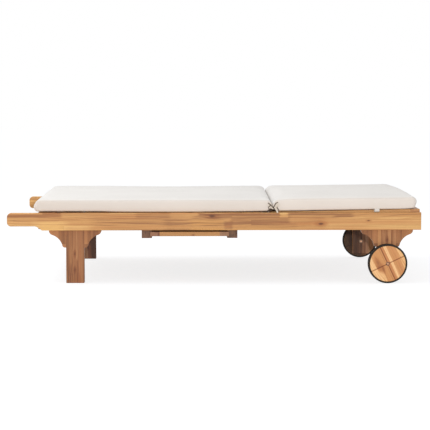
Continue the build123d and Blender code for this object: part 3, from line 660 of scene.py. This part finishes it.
def stave_marks(shade, face, staves, knots):
    """The tone and redness that the staves give a face, and its knots."""
    tone = redness = None
    for start, end, low, high, lighter, redder, soft in staves:
        mask = shade.use(STAVE, vector=face, low=(start, low, 0), high=(end, high, 0), soft=soft)["Mask"]
        tone = shade.scaled(mask, lighter, 0.0 if tone is None else tone)
        redness = shade.scaled(mask, redder, 0.0 if redness is None else redness)
    vector, heart, halo = with_knots(shade, face, knots)
    return {"vector": vector, "tone": tone, "redness": redness, "heart": heart, "halo": halo}


def board_marks(face_of, staves, knots):
    """Marks for a board: its staves and its knots, on the face that face_of gives."""

    def marks_on(shade, place):
        return stave_marks(shade, face_of(shade, place), staves, knots)

    return marks_on


def leg_marks(leg, staves, inside_shade_staves, knots):
    """Marks for a leg. Its inner face, under the bed, has painted shade: darker tones and staves of its own."""
    low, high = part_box(leg)
    inner_face = min(abs(low[1]), abs(high[1]))

    def marks_on(shade, place):
        face = post_face(shade, place)
        marks = stave_marks(shade, face, staves, knots)
        painted_inside_shade = stave_marks(shade, face, inside_shade_staves, ())
        away = shade.calc("ABSOLUTE", shade.split(place)[1])
        # How far a point lies on the leg's inner face, where shade is painted
        inside = shade.ease(away, inner_face + 0.020, inner_face + 0.004)
        for name in ("tone", "redness"):
            change = shade.minus(painted_inside_shade[name], marks[name])
            marks[name] = shade.calc("MULTIPLY_ADD", inside, change, marks[name])
        marks["tones"] = [shade.mix(inside, outer, inner) for outer, inner in zip(LEG, LEG_INSIDE_SHADE)]
        return marks

    return marks_on


for side, handle in (("near", NEAR_HANDLE_STAVES), ("far", FAR_HANDLE_STAVES)):
    wood(f"side_rail_{side}", RAIL, board_marks(long_face, handle + RAIL_STAVES, RAIL_KNOTS),
         length=5.0, width=0.0293, seed=3.0, variety=0.30)
for end, staves, inside_shade_staves, knots, seed in (
    ("foot", FOOT_POST_STAVES, FOOT_INSIDE_SHADE_STAVES, FOOT_POST_KNOTS, 2.0),
    ("head", HEAD_POST_STAVES, HEAD_INSIDE_SHADE_STAVES, HEAD_POST_KNOTS, 5.0),
):
    for side in ("near", "far"):
        leg = f"{end}_leg_{side}"
        wood(leg, LEG, leg_marks(leg, staves, inside_shade_staves, knots),
             length=4.0, width=0.20, seed=seed, variety=0.2, knot_depth=0.6)
wood("leg_brackets", BRACKET, plain("upright"), length=4.0, width=0.029, seed=9.0, variety=0.9)
for node, seed in (("foot_cross_rail", 1.0), ("hinge_cross_rail", 4.0), ("head_cross_rail", 6.0)):
    wood(node, FRAME, plain("across"), length=0.7, width=0.08, seed=seed)
for number, node in enumerate((
    "seat_ledger_near", "seat_ledger_far", "seat_centre_bearer", "ratchet_rail_near", "ratchet_rail_far",
    "back_stile_near", "back_stile_far", "back_centre_batten", "prop_arm_near", "prop_arm_far",
)):
    # The stiles take lighter tones: painted light
    tones = LIT_STILE if "stile" in node else FRAME
    wood(node, tones, plain("along"), length=0.8, width=0.09, seed=11.0 + number)
slats = [f"seat_slat_{n}" for n in range(1, 10)] + [f"back_slat_{n}" for n in range(1, 6)]
for number, node in enumerate(slats + ["back_head_bar", "back_hinge_bar", "prop_foot_bar"]):
    wood(node, FRAME, plain("across"), length=1.5, width=0.5, seed=30.0 + 1.7 * number)


def tray_face(shade, place):
    """The coordinates of a tray's boards: X along them, and Y with Z across them."""
    x, y, z = shade.split(place)
    return shade.join(x, shade.plus(y, z), z)


# The tray's own stave and knot, by X and by Y with Z added
TRAY_STAVES = ((-0.40, 0.15, -0.420, -0.340, 0.10, 0.00, 0.0020),)
TRAY_KNOTS = ((-0.109, -0.402, 0.0030),)

for end, seed, tone in (("foot", 60.0, 0.0), ("head", 63.0, -0.9)):
    wood(f"tray_runner_{end}", RUNNER, plain("across", tone), length=1.5, width=0.2, seed=seed)
for side in ("near", "far"):
    wood(f"tray_{side}_panel", TRAY, board_marks(tray_face, TRAY_STAVES, TRAY_KNOTS),
         length=0.9, width=0.07, seed=71.0)
    wood(f"tray_{side}_end_battens", TRAY_END, plain("across"), length=0.9, width=0.2, seed=76.0)


def wheel_marks(centre, hand):
    """Marks for a wheel: its staves, which lie along its steep groove, with a cluster of knots. Its grooves are
    dark, and painted shade darkens its inner face towards the foot end. hand is the side of the bed that it is on."""

    def marks_on(shade, place):
        away = shade.vector("SUBTRACT", place, centre)
        x, y, z = shade.split(away)
        slope = radians(64.5)
        along = shade.plus(shade.scaled(x, -cos(slope)), shade.scaled(z, sin(slope)))
        across = shade.plus(shade.scaled(x, sin(slope)), shade.scaled(z, cos(slope)))
        marks = stave_marks(shade, shade.join(along, across, y), WHEEL_STAVES, WHEEL_KNOTS)
        nearest = shade.least(shade.calc("ABSOLUTE", along), shade.calc("ABSOLUTE", across))
        groove = shade.ease(nearest, 0.0036, 0.0020)
        # Painted shade on the wheel's inner face, strongest towards the foot end
        turned_in = shade.ease(shade.times(y, hand), -0.0155, -0.0165)
        inner = shade.times(turned_in, shade.ease(x, 0.060, -0.010, 0.50, 1.0))
        return {**marks, "groove": groove, "inner": inner}

    return marks_on


# Staves of a wheel: from and to along its steep groove, from and to across it, tone, redness, softness
WHEEL_STAVES = (
    (-0.200, 0.200, -0.100, -0.061, 0.75, -0.15, 0.0025),
    (-0.200, -0.015, -0.061, -0.038, 0.70, -0.15, 0.0030),
    (-0.015, 0.200, -0.061, -0.036, -0.10, -0.10, 0.0015),
    (-0.200, 0.200, -0.036, 0.000, -0.22, -0.20, 0.0010),
    (-0.200, 0.200, 0.000, 0.0145, 0.00, 0.20, 0.0012),
    (-0.200, 0.200, 0.0145, 0.031, 1.00, 0.00, 0.0014),
    (-0.200, 0.200, 0.031, 0.068, -0.05, -0.20, 0.0012),
    (-0.200, 0.200, 0.068, 0.100, 0.65, -0.30, 0.0018),
)
WHEEL_KNOTS = ((0.026, -0.044, 0.0075), (0.004, -0.046, 0.0050), (-0.013, -0.038, 0.0070))

for side, hand in (("near", -1), ("far", 1)):
    disc = f"wheel_{side}_disc"
    hub = tuple((low + high) / 2 for low, high in zip(*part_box(disc)))
    wood(disc, WHEEL, wheel_marks(hub, hand), length=1.2, width=0.3, seed=84.0, variety=0.2, figure=0.4,
         knot_depth=0.25, beyond=(1, 0, 1))


def scuffed(name, fineness):
    """A new material, its shade and surface, and the scratches and patches on it."""
    material, shade, surface = new_material(name)
    return material, shade, surface, shade.use(SCUFF, vector=shade.place(), fineness=fineness)


def steel(name, dark, light, smoothest):
    """Plated steel, brushed and slightly dull in patches."""
    material, shade, surface, scuff = scuffed(name, 2200.0)
    shade.feeds(surface, {
        "Base Color": shade.mix(scuff["Patch"], dark, light),
        "Metallic": 1.0,
        "Roughness": shade.ease(scuff["Scratch"], 0.3, 0.8, smoothest, smoothest + 0.2),
        "Normal": shade.relief(0.2, 0.0002, scuff["Scratch"]),
    })
    return material


def rubber():
    """Matt black tyre rubber with dust where it rolls."""
    material, shade, surface, scuff = scuffed("tyre_rubber", 700.0)
    dust = shade.ease(scuff["Patch"], 0.45, 0.75, 0.0, 0.4)
    shade.feeds(surface, {
        "Base Color": shade.mix(dust, (0.020, 0.016, 0.012), (0.055, 0.045, 0.036)),
        "Roughness": shade.scaled(scuff["Scratch"], 0.25, 0.60),
        "Specular IOR Level": 0.25,
        "Normal": shade.relief(0.35, 0.0003, scuff["Scratch"]),
    })
    return material


def nylon():
    """Moulded dark nylon with a fine grain."""
    material, shade, surface, scuff = scuffed("bush_nylon", 1500.0)
    shade.feeds(surface, {
        "Base Color": shade.mix(scuff["Patch"], (0.030, 0.030, 0.032), (0.055, 0.054, 0.053)),
        "Roughness": shade.scaled(scuff["Scratch"], 0.2, 0.38),
        "Normal": shade.relief(0.2, 0.0002, scuff["Scratch"]),
    })
    return material


dress(steel("plated_steel", (0.34, 0.33, 0.32), (0.52, 0.51, 0.49), 0.24), "frame_screws", "seat_slat_screws",
      "back_slat_screws", "hinge_pins", "prop_pivot_pins")
dress(steel("bronzed_steel", (0.46, 0.25, 0.15), (0.60, 0.36, 0.23), 0.42), "axle_bolts")
dress(steel("dull_steel", (0.15, 0.11, 0.085), (0.26, 0.20, 0.16), 0.42), "axle_washers", "axle_nuts")
dress(rubber(), "wheel_near_tyre", "wheel_far_tyre")
dress(nylon(), "wheel_near_bush", "wheel_far_bush")


def cover_cloth(name, color, dark, pitch, seams=False):
    """Woven cover cloth. Where the piece has seams, their attribute darkens them and shows the stitches."""
    material, shade, surface = new_material(name)
    place = shade.place()
    weave = shade.use(WEAVE, vector=place, pitch=pitch)
    cloudy = shade.mix(shade.ease(weave["Cloud"], 0.3, 0.7), color, dark)
    cloth = shade.toned(shade.scaled(weave["Slub"], 0.25), cloudy, (1.03, 1.02, 1.0))
    height = weave["Height"]
    if seams:
        seam, fold_shade, painted_side_shade = [shade.add("ShaderNodeAttribute", attribute_name=mark).outputs["Fac"]
                            for mark in ("seam", "fold_shade", "side_shade")]
        line = shade.ease(seam, 0.55, 0.95)
        cloth = shade.toned(shade.scaled(line, 0.22), cloth, (0.55, 0.52, 0.49))
        # Painted shade in the fold's crease and under the fold
        cloth = shade.toned(shade.ease(fold_shade, 0.35, 0.9), cloth, (0.20, 0.17, 0.15))
        # Painted shade on the sides of the mattress, darker and warmer
        cloth = shade.toned(painted_side_shade, cloth, (0.885, 0.840, 0.805))
        x, y, _ = shade.split(place)
        # Painted light: the back part of the cover is a little lighter
        cloth = shade.toned(shade.ease(x, 0.30, 0.36), cloth, (1.035, 1.030, 1.025))
        stitch = shade.calc("SINE", shade.times(shade.plus(x, y), 2 * pi / stitch_length))
        row = shade.times(shade.ease(seam, 0.25, 0.45), shade.ease(seam, 0.75, 0.55))
        thread = shade.times(row, shade.ease(stitch, -0.2, 0.3))
        height = shade.plus(height, shade.scaled(thread, 2.0))
        height = shade.minus(height, shade.scaled(line, 2.5))
    shade.feeds(surface, {
        "Base Color": cloth,
        "Roughness": shade.scaled(weave["Cloud"], 0.12, 0.80),
        "Sheen Weight": 0.12,
        "Sheen Roughness": 0.5,
        "Specular IOR Level": 0.2,
        "Normal": shade.relief(0.35, 0.0004, height),
    })
    return material


COVER = cover_cloth("mattress_cloth", (0.850, 0.835, 0.815), (0.820, 0.804, 0.784), 0.0012, seams=True)
TAPE = cover_cloth("tie_cloth", (0.760, 0.710, 0.630), (0.640, 0.590, 0.515), 0.0009)
# Dark cloth for strips that paint shadow: along the tie tapes and under the fold
SHADOW_CLOTH = cover_cloth("painted_shadow_cloth", (0.130, 0.105, 0.085), (0.085, 0.068, 0.055), 0.0009)
WEBBING = cover_cloth("strap_cloth", (0.760, 0.740, 0.715), (0.700, 0.680, 0.655), 0.0014)


def smooth(value, start, length):
    """Goes smoothly from 0 to 1 as the value goes from the start over the length, up or down."""
    share = np.clip((value - start) / length, 0, 1)
    return share * share * (3 - 2 * share)


def ease_in(share):
    """A quarter round: 1 at 0, falling to 0 at 1."""
    share = np.clip(share, 0, 1)
    return 1 - np.sqrt(np.clip(1 - (1 - share) ** 2, 0, 1))


def fading(distance, reach):
    """Falls from 1 at no distance to 0 at the reach."""
    return np.clip(1 - distance / reach, 0, 1)


def along(table, places):
    """Reads a table of places and values at the given places."""
    return np.interp(places, *zip(*table))


def crease_at(y):
    """Where the fold crosses the mattress, a little askew as it lies."""
    share = (y + mattress_half_width) / (2 * mattress_half_width)
    return crease_near_x + (crease_far_x - crease_near_x) * share


def cut_planes():
    """Where the mattress is cut across: X in the middle of its width, and the slant there."""
    middle = (crease_near_x + crease_far_x) / 2
    slant = (crease_far_x - crease_near_x) / (2 * mattress_half_width)
    planes = [(middle + hand * step, slant) for step in CREASE_STEPS for hand in (-1, 1)]
    for hand, end in ((-1, mattress_foot), (1, mattress_head)):
        start = middle + hand * CREASE_STEPS[-1]
        count = round(abs(end - start) / cell_length)
        for number in range(1, count):
            share = number / count
            x = start + (end - start) * share
            planes.append((x, slant * max(0.0, 1 - share * abs(end - start) / slant_reach)))
    return planes


def cut(place, normal):
    """In edit mode, cuts the whole mesh along a plane."""
    bpy.ops.mesh.select_all(action="SELECT")
    bpy.ops.mesh.bisect(plane_co=place, plane_no=normal)


def leave_clean(same_point):
    """In edit mode, joins doubled points, turns all faces outwards and leaves edit mode."""
    bpy.ops.mesh.select_all(action="SELECT")
    bpy.ops.mesh.remove_doubles(threshold=same_point)
    bpy.ops.mesh.normals_make_consistent(inside=False)
    bpy.ops.object.mode_set(mode="OBJECT")


def mark(piece, name, values):
    """Stores a value for each point, for the material to read."""
    piece.data.attributes.new(name, "FLOAT", "POINT").data.foreach_set("value", values.astype(np.float32))


def boxed_cover():
    """The flat mattress: a box with rounded corners and rims, cut into cells."""
    middle = ((mattress_head + mattress_foot) / 2, 0, deck_height + mattress_thickness / 2)
    size = (mattress_head - mattress_foot, 2 * mattress_half_width, mattress_thickness)
    piece = block("mattress", middle, size)
    bpy.ops.object.mode_set(mode="EDIT")
    round_edges(piece, corner_round, lambda a, b: abs(a.z - b.z) > 0.01, segments=5)
    round_edges(piece, top_round, lambda a, b: min(a.z, b.z) > mattress_top - at_edge)
    round_edges(piece, low_round, lambda a, b: max(a.z, b.z) < deck_height + at_edge)
    for x, slant in cut_planes():
        cut((x, 0, 0), (1, -slant, 0))
    for number in range(1, cells_across):
        y = mattress_half_width * (2 * number / cells_across - 1)
        if abs(y) < mattress_half_width - corner_round:
            cut((0, y, 0), (0, 1, 0))
    for share in side_cuts:
        height = deck_height + low_round + share * (mattress_thickness - low_round - top_round)
        cut((0, 0, height), (0, 0, 1))
    leave_clean(0.0001)
    return piece


def mattress():
    """The wide mattress: a boxed cushion, rounded at its rims and creased where it folds."""
    piece = boxed_cover()

    # Which points lie on a seam, which on the folded crease, before the form is changed
    flat = points_of(piece)
    flat_x, flat_y, flat_z = flat.T
    rims = ((flat_z - deck_height) / low_round, (mattress_top - flat_z) / top_round)

    def on_rims(turn):
        return np.any([np.abs(rim - 1 + cos(radians(turn))) < 0.03 for rim in rims], axis=0)

    seam = on_rims(45)
    beside = on_rims(22.5) | on_rims(67.5)
    away = np.abs(flat_x - crease_at(flat_y))
    crease = away < 0.0005

    # Form: sides that draw in between the corners, rounded ends and the crease
    shaped = flat.copy()
    height_share = (flat_z - deck_height) / mattress_thickness
    from_middle = flat_y / mattress_half_width
    outwards = np.abs(from_middle)
    for start, end in ((mattress_foot, hinge_x), (hinge_x, mattress_head)):
        inside = (flat_x >= start) & (flat_x <= end)
        share = (flat_x - start) / (end - start)
        shaped[:, 1] -= inside * 4 * share * (1 - share) * side_draw * from_middle
    to_foot, to_head = flat_x - mattress_foot, mattress_head - flat_x
    squeeze = ease_in(np.minimum(to_foot, to_head) / end_round) * end_drop
    shaped[:, 2] += squeeze * (1 - 2 * height_share)
    far_share = (from_middle + 1) / 2
    shaped[:, 0] += along(FOOT_PROFILE, height_share) * fading(to_foot, end_reach)
    shaped[:, 0] -= along(HEAD_PROFILE, height_share) * fading(to_head, end_reach)
    shaped[:, 0] += head_skew * far_share * fading(to_head, skew_reach)
    shaped[:, 0] -= foot_skew * far_share * fading(to_foot, skew_reach)
    top = ease_in(away / crease_top_reach) * crease_top_depth
    open_share = 0.3 + 0.7 * smooth(outwards, 0.88, 0.08)
    bottom = ease_in(away / crease_low_reach) * crease_low_depth * open_share
    shaped[:, 2] += bottom * (1 - height_share) - top * height_share
    shaped[:, 1] -= ease_in(away / crease_top_reach) * crease_side_draw * from_middle
    place_points(piece, shaped)

    group = piece.vertex_groups.new(name="held")
    group.add([int(n) for n in np.flatnonzero(seam | crease)], 1.0, "REPLACE")
    puff(piece, "held", pressure=4, most=fill_reach)

    # The mattress lies flat on the slats, and the back part rises with the back
    puffed = points_of(piece)
    rests = np.where(height_share < 0.2, deck_height, 0.0)
    puffed[:, 2] = np.maximum(puffed[:, 2], rests)
    at_side = smooth(outwards, 0.91, 0.07)
    puffed[:, 2] += along(EDGE_CURL, flat_x) * at_side * (1 - height_share)
    swell = crown_height * (1 - from_middle**2)
    on_back = smooth(flat_x, 0.30, 0.10) * np.clip((0.97 - flat_x) / 0.55, 0, 1)
    swell += back_swell * (1 - far_share) * on_back
    swell *= smooth(away, 0, 0.06) * smooth(to_foot, 0, 0.08)
    puffed[:, 2] += (swell - along(FAR_SINK, flat_x) * far_share**2) * height_share
    puffed[:, 2] += np.clip(puffed[:, 0] - hinge_x, 0, None) * sin(back_lean)
    place_points(piece, puffed)

    # Seams are pulled in between their lips
    normals = np.empty(len(piece.data.vertices) * 3)
    piece.data.vertices.foreach_get("normal", normals)
    puffed -= normals.reshape(-1, 3) * (seam_depth * seam - lip_height * beside)[:, None]
    place_points(piece, puffed)
    piece.vertex_groups.clear()

    # What the material reads: the seams, the painted shade of the fold's crease and underside, and the painted
    # shade on the sides
    mark(piece, "seam", 1.0 * seam + 0.4 * beside)
    # Painted shade: a dark line along the crease, and darkening under the fold
    under = smooth(away, 0.036, -0.02) * smooth(height_share, 0.16, -0.08)
    mark(piece, "fold_shade", np.maximum(0.66 * fading(away, 0.0052), under))
    # Painted shade on the sides, stronger low down and towards the foot end
    painted_side_shade = smooth(outwards, 0.975, 0.02) * smooth(height_share, 1.40, -0.6)
    mark(piece, "side_shade", painted_side_shade * along(SIDE_SHADE, flat_x))

    finish_with(piece, "SUBSURF", levels=1, render_levels=1)
    bpy.ops.object.shade_smooth()
    covered(piece, COVER)
    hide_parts("seat_cushion", "cushion_fold", "back_cushion")
    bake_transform(piece)


def puff(piece, held, pressure, most):
    """Fills a closed cover by cloth simulation, held at its seams, and keeps each point within reach."""
    before = points_of(piece)
    frames = 20
    cloth = piece.modifiers.new("filling", "CLOTH")
    cloth.settings.use_pressure = True
    cloth.settings.uniform_pressure_force = pressure
    cloth.settings.effector_weights.gravity = 0
    cloth.settings.vertex_group_mass = held
    cloth.point_cache.frame_start = 1
    cloth.point_cache.frame_end = frames
    scene = bpy.context.scene
    for number in range(1, frames + 1):
        scene.frame_set(number)
    filled = piece.evaluated_get(bpy.context.evaluated_depsgraph_get())
    move = points_of(filled) - before
    reach = np.linalg.norm(move, axis=1)
    kept = most * np.tanh(reach / most)
    piece.modifiers.remove(cloth)
    scene.frame_set(1)
    place_points(piece, before + move * (kept / np.maximum(reach, 1e-9))[:, None])


def tape(name, width, cloth, points):
    """A flat woven tape along a smooth line, made a mesh."""
    line = bpy.data.curves.new(name, "CURVE")
    line.dimensions = "3D"
    line.twist_mode = "MINIMUM"
    line.extrude = width / 2
    line.bevel_depth = tape_thickness / 2
    line.bevel_resolution = 1
    spline = line.splines.new("NURBS")
    spline.points.add(len(points) - 1)
    for point, place in zip(spline.points, points):
        point.co = (*place, 1)
    spline.order_u = 3
    spline.use_endpoint_u = True
    spline.resolution_u = 6
    take(placed(name, line))
    bpy.ops.object.convert(target="MESH")
    piece = bpy.context.object
    covered(piece, cloth)
    bpy.ops.object.mode_set(mode="EDIT")
    leave_clean(0.00002)
    bpy.ops.object.shade_smooth_by_angle(angle=radians(50))
    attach(piece, "frame")


# The tie tapes at the near end of the fold, a small bow, with dark strips of painted shadow along it: width, cloth
# and line
TAPES = {
    "tie_loop_foot": (0.0065, TAPE, (
        (0.300, -0.647, 0.381), (0.291, -0.650, 0.392), (0.282, -0.652, 0.405), (0.274, -0.652, 0.408),
        (0.274, -0.651, 0.395), (0.284, -0.649, 0.387), (0.296, -0.648, 0.380))),
    "tie_loop_head": (0.0065, TAPE, (
        (0.300, -0.647, 0.381), (0.306, -0.650, 0.393), (0.313, -0.652, 0.406), (0.321, -0.652, 0.408),
        (0.324, -0.651, 0.398), (0.314, -0.649, 0.388), (0.303, -0.648, 0.381))),
    "tie_tail_head": (0.0075, TAPE, (
        (0.302, -0.650, 0.389), (0.310, -0.652, 0.380), (0.316, -0.653, 0.371), (0.319, -0.653, 0.361))),
    "tie_shadow_foot": (0.0040, SHADOW_CLOTH, (
        (0.270, -0.655, 0.411), (0.281, -0.655, 0.403), (0.291, -0.655, 0.393), (0.300, -0.655, 0.384),
        (0.304, -0.655, 0.376))),
    "tie_shadow_head": (0.0040, SHADOW_CLOTH, (
        (0.320, -0.655, 0.414), (0.311, -0.655, 0.411), (0.305, -0.655, 0.402), (0.300, -0.655, 0.392),
        (0.296, -0.655, 0.385))),
    "tie_shadow_curl": (0.0030, SHADOW_CLOTH, (
        (0.283, -0.655, 0.398), (0.275, -0.655, 0.393), (0.270, -0.655, 0.386), (0.276, -0.655, 0.381))),
    "tie_shadow_tail": (0.0035, SHADOW_CLOTH, ((0.315, -0.655, 0.390), (0.320, -0.655, 0.382), (0.324, -0.655, 0.374))),
}


def fold_shadow_sheet():
    """A short dark sheet under the fold, inside the near rail, that paints the shadow there. It stands clear of
    the last seat slat at its foot side, and midway between the rail and the stile of the back."""
    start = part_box("seat_slat_9")[1][0] + 0.0005
    side = (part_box("side_rail_near")[1][1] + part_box("back_stile_near")[0][1]) / 2
    middle = ((start + band_end) / 2, side, band_middle)
    piece = block("fold_shadow_sheet", middle, (band_end - start, tape_thickness, band_height))
    finish_with(piece, "BEVEL", width=0.0003, segments=2)
    covered(piece, SHADOW_CLOTH)
    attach(piece, "frame")


def webbing_loop(name, inner, outer, low, high):
    """A flat loop of webbing round a square space, given by Y and Z."""
    middle = (strap_x, (inner + outer) / 2, (low + high) / 2)
    piece = block(name, middle, (strap_width, abs(outer - inner), high - low))
    bpy.ops.object.mode_set(mode="EDIT")
    round_edges(piece, strap_round, lambda a, b: abs(a.x - b.x) > 0.01)
    pick(piece, "FACE", lambda middle, normal: abs(normal.x) > 0.9)
    bpy.ops.mesh.delete(type="ONLY_FACE")
    bpy.ops.object.mode_set(mode="OBJECT")
    finish_with(piece, "SOLIDIFY", thickness=strap_thickness, offset=1.0)
    bpy.ops.object.shade_smooth_by_angle(angle=radians(40))
    covered(piece, WEBBING)
    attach(piece, "backrest")


def stile_strap(side, hand):
    """The webbing that holds the mattress to a stile of the back, and its tab at the mattress's edge."""
    rise = (strap_x - hinge_x) * sin(back_lean)
    webbing_loop(f"stile_strap_{side}", hand * (stile_inside - strap_gap), hand * (stile_outside + strap_gap),
                 stile_low + rise - strap_gap, stile_high + rise + strap_gap)
    webbing_loop(f"strap_tab_{side}", hand * tab_inside, hand * tab_outside, tab_low, tab_high)


mattress()
for name, settings in TAPES.items():
    tape(name, *settings)
fold_shadow_sheet()
stile_strap("near", -1)
stile_strap("far", 1)


def floor():
    """A pale studio floor that shows white to the camera, with the bed's soft shadow on it."""
    bpy.ops.mesh.primitive_plane_add(size=60, location=(0, 0, -0.0005))
    piece = settled("studio_floor")
    material, shade, surface = new_material("studio_white")
    shade.feeds(surface, {"Base Color": (0.80, 0.80, 0.80), "Roughness": 0.9, "Specular IOR Level": 0.0})
    white = shade.add("ShaderNodeEmission", {"Color": (1, 1, 1), "Strength": 0.80}).outputs[0]
    shaded = shade.add("ShaderNodeBsdfDiffuse", {"Color": (0.30, 0.31, 0.33)}).outputs[0]
    seen = shade.add("ShaderNodeAddShader", {0: white, 1: shaded}).outputs[0]
    mixed = shade.seen_or_lighting(surface.outputs[0], seen)
    shade.feed(material.node_tree.nodes["Material Output"].inputs["Surface"], mixed)
    piece.data.materials.append(material)


def light():
    """An even white studio: a bright dome, a wide soft lamp overhead and a soft fill from the front."""
    world = bpy.data.worlds.new("studio")
    bpy.context.scene.world = world
    world.use_nodes = True
    shade = Shade(world.node_tree)
    dome = world.node_tree.nodes["Background"]
    shade.feeds(dome, {"Color": (1.0, 0.995, 0.985), "Strength": 0.66})
    white = shade.add("ShaderNodeBackground", {"Color": (1, 1, 1), "Strength": 1.0}).outputs[0]
    mixed = shade.seen_or_lighting(dome.outputs[0], white)
    shade.feed(world.node_tree.nodes["World Output"].inputs["Surface"], mixed)
    lamps = (
        ("overhead_lamp", (-2.2, -0.4, 3.4), (3.2, 2.4), 58, (1.0, 1.0, 1.0)),
        ("front_lamp", (0.02, -8.7, 1.15), (0.10, 0.10), 200, (1.0, 0.84, 0.71)),
    )
    for name, place, size, power, color in lamps:
        lamp = bpy.data.lights.new(name, "AREA")
        lamp.shape = "RECTANGLE"
        lamp.size, lamp.size_y = size
        lamp.energy = power
        lamp.color = color
        holder = placed(name, lamp, place)
        holder.rotation_euler = (Vector((0, 0, 0.3)) - Vector(place)).to_track_quat("-Z", "Y").to_euler()


def camera():
    lens = bpy.data.cameras.new("photo_camera")
    lens.lens = camera_lens
    lens.sensor_width = 36
    lens.clip_end = 100
    holder = placed("photo_camera", lens, camera_place)
    holder.rotation_euler = (radians(90 - camera_pitch), 0, -radians(camera_turn))
    bpy.context.scene.camera = holder


floor()
light()
camera()
bpy.context.scene.view_settings.view_transform = "Standard"
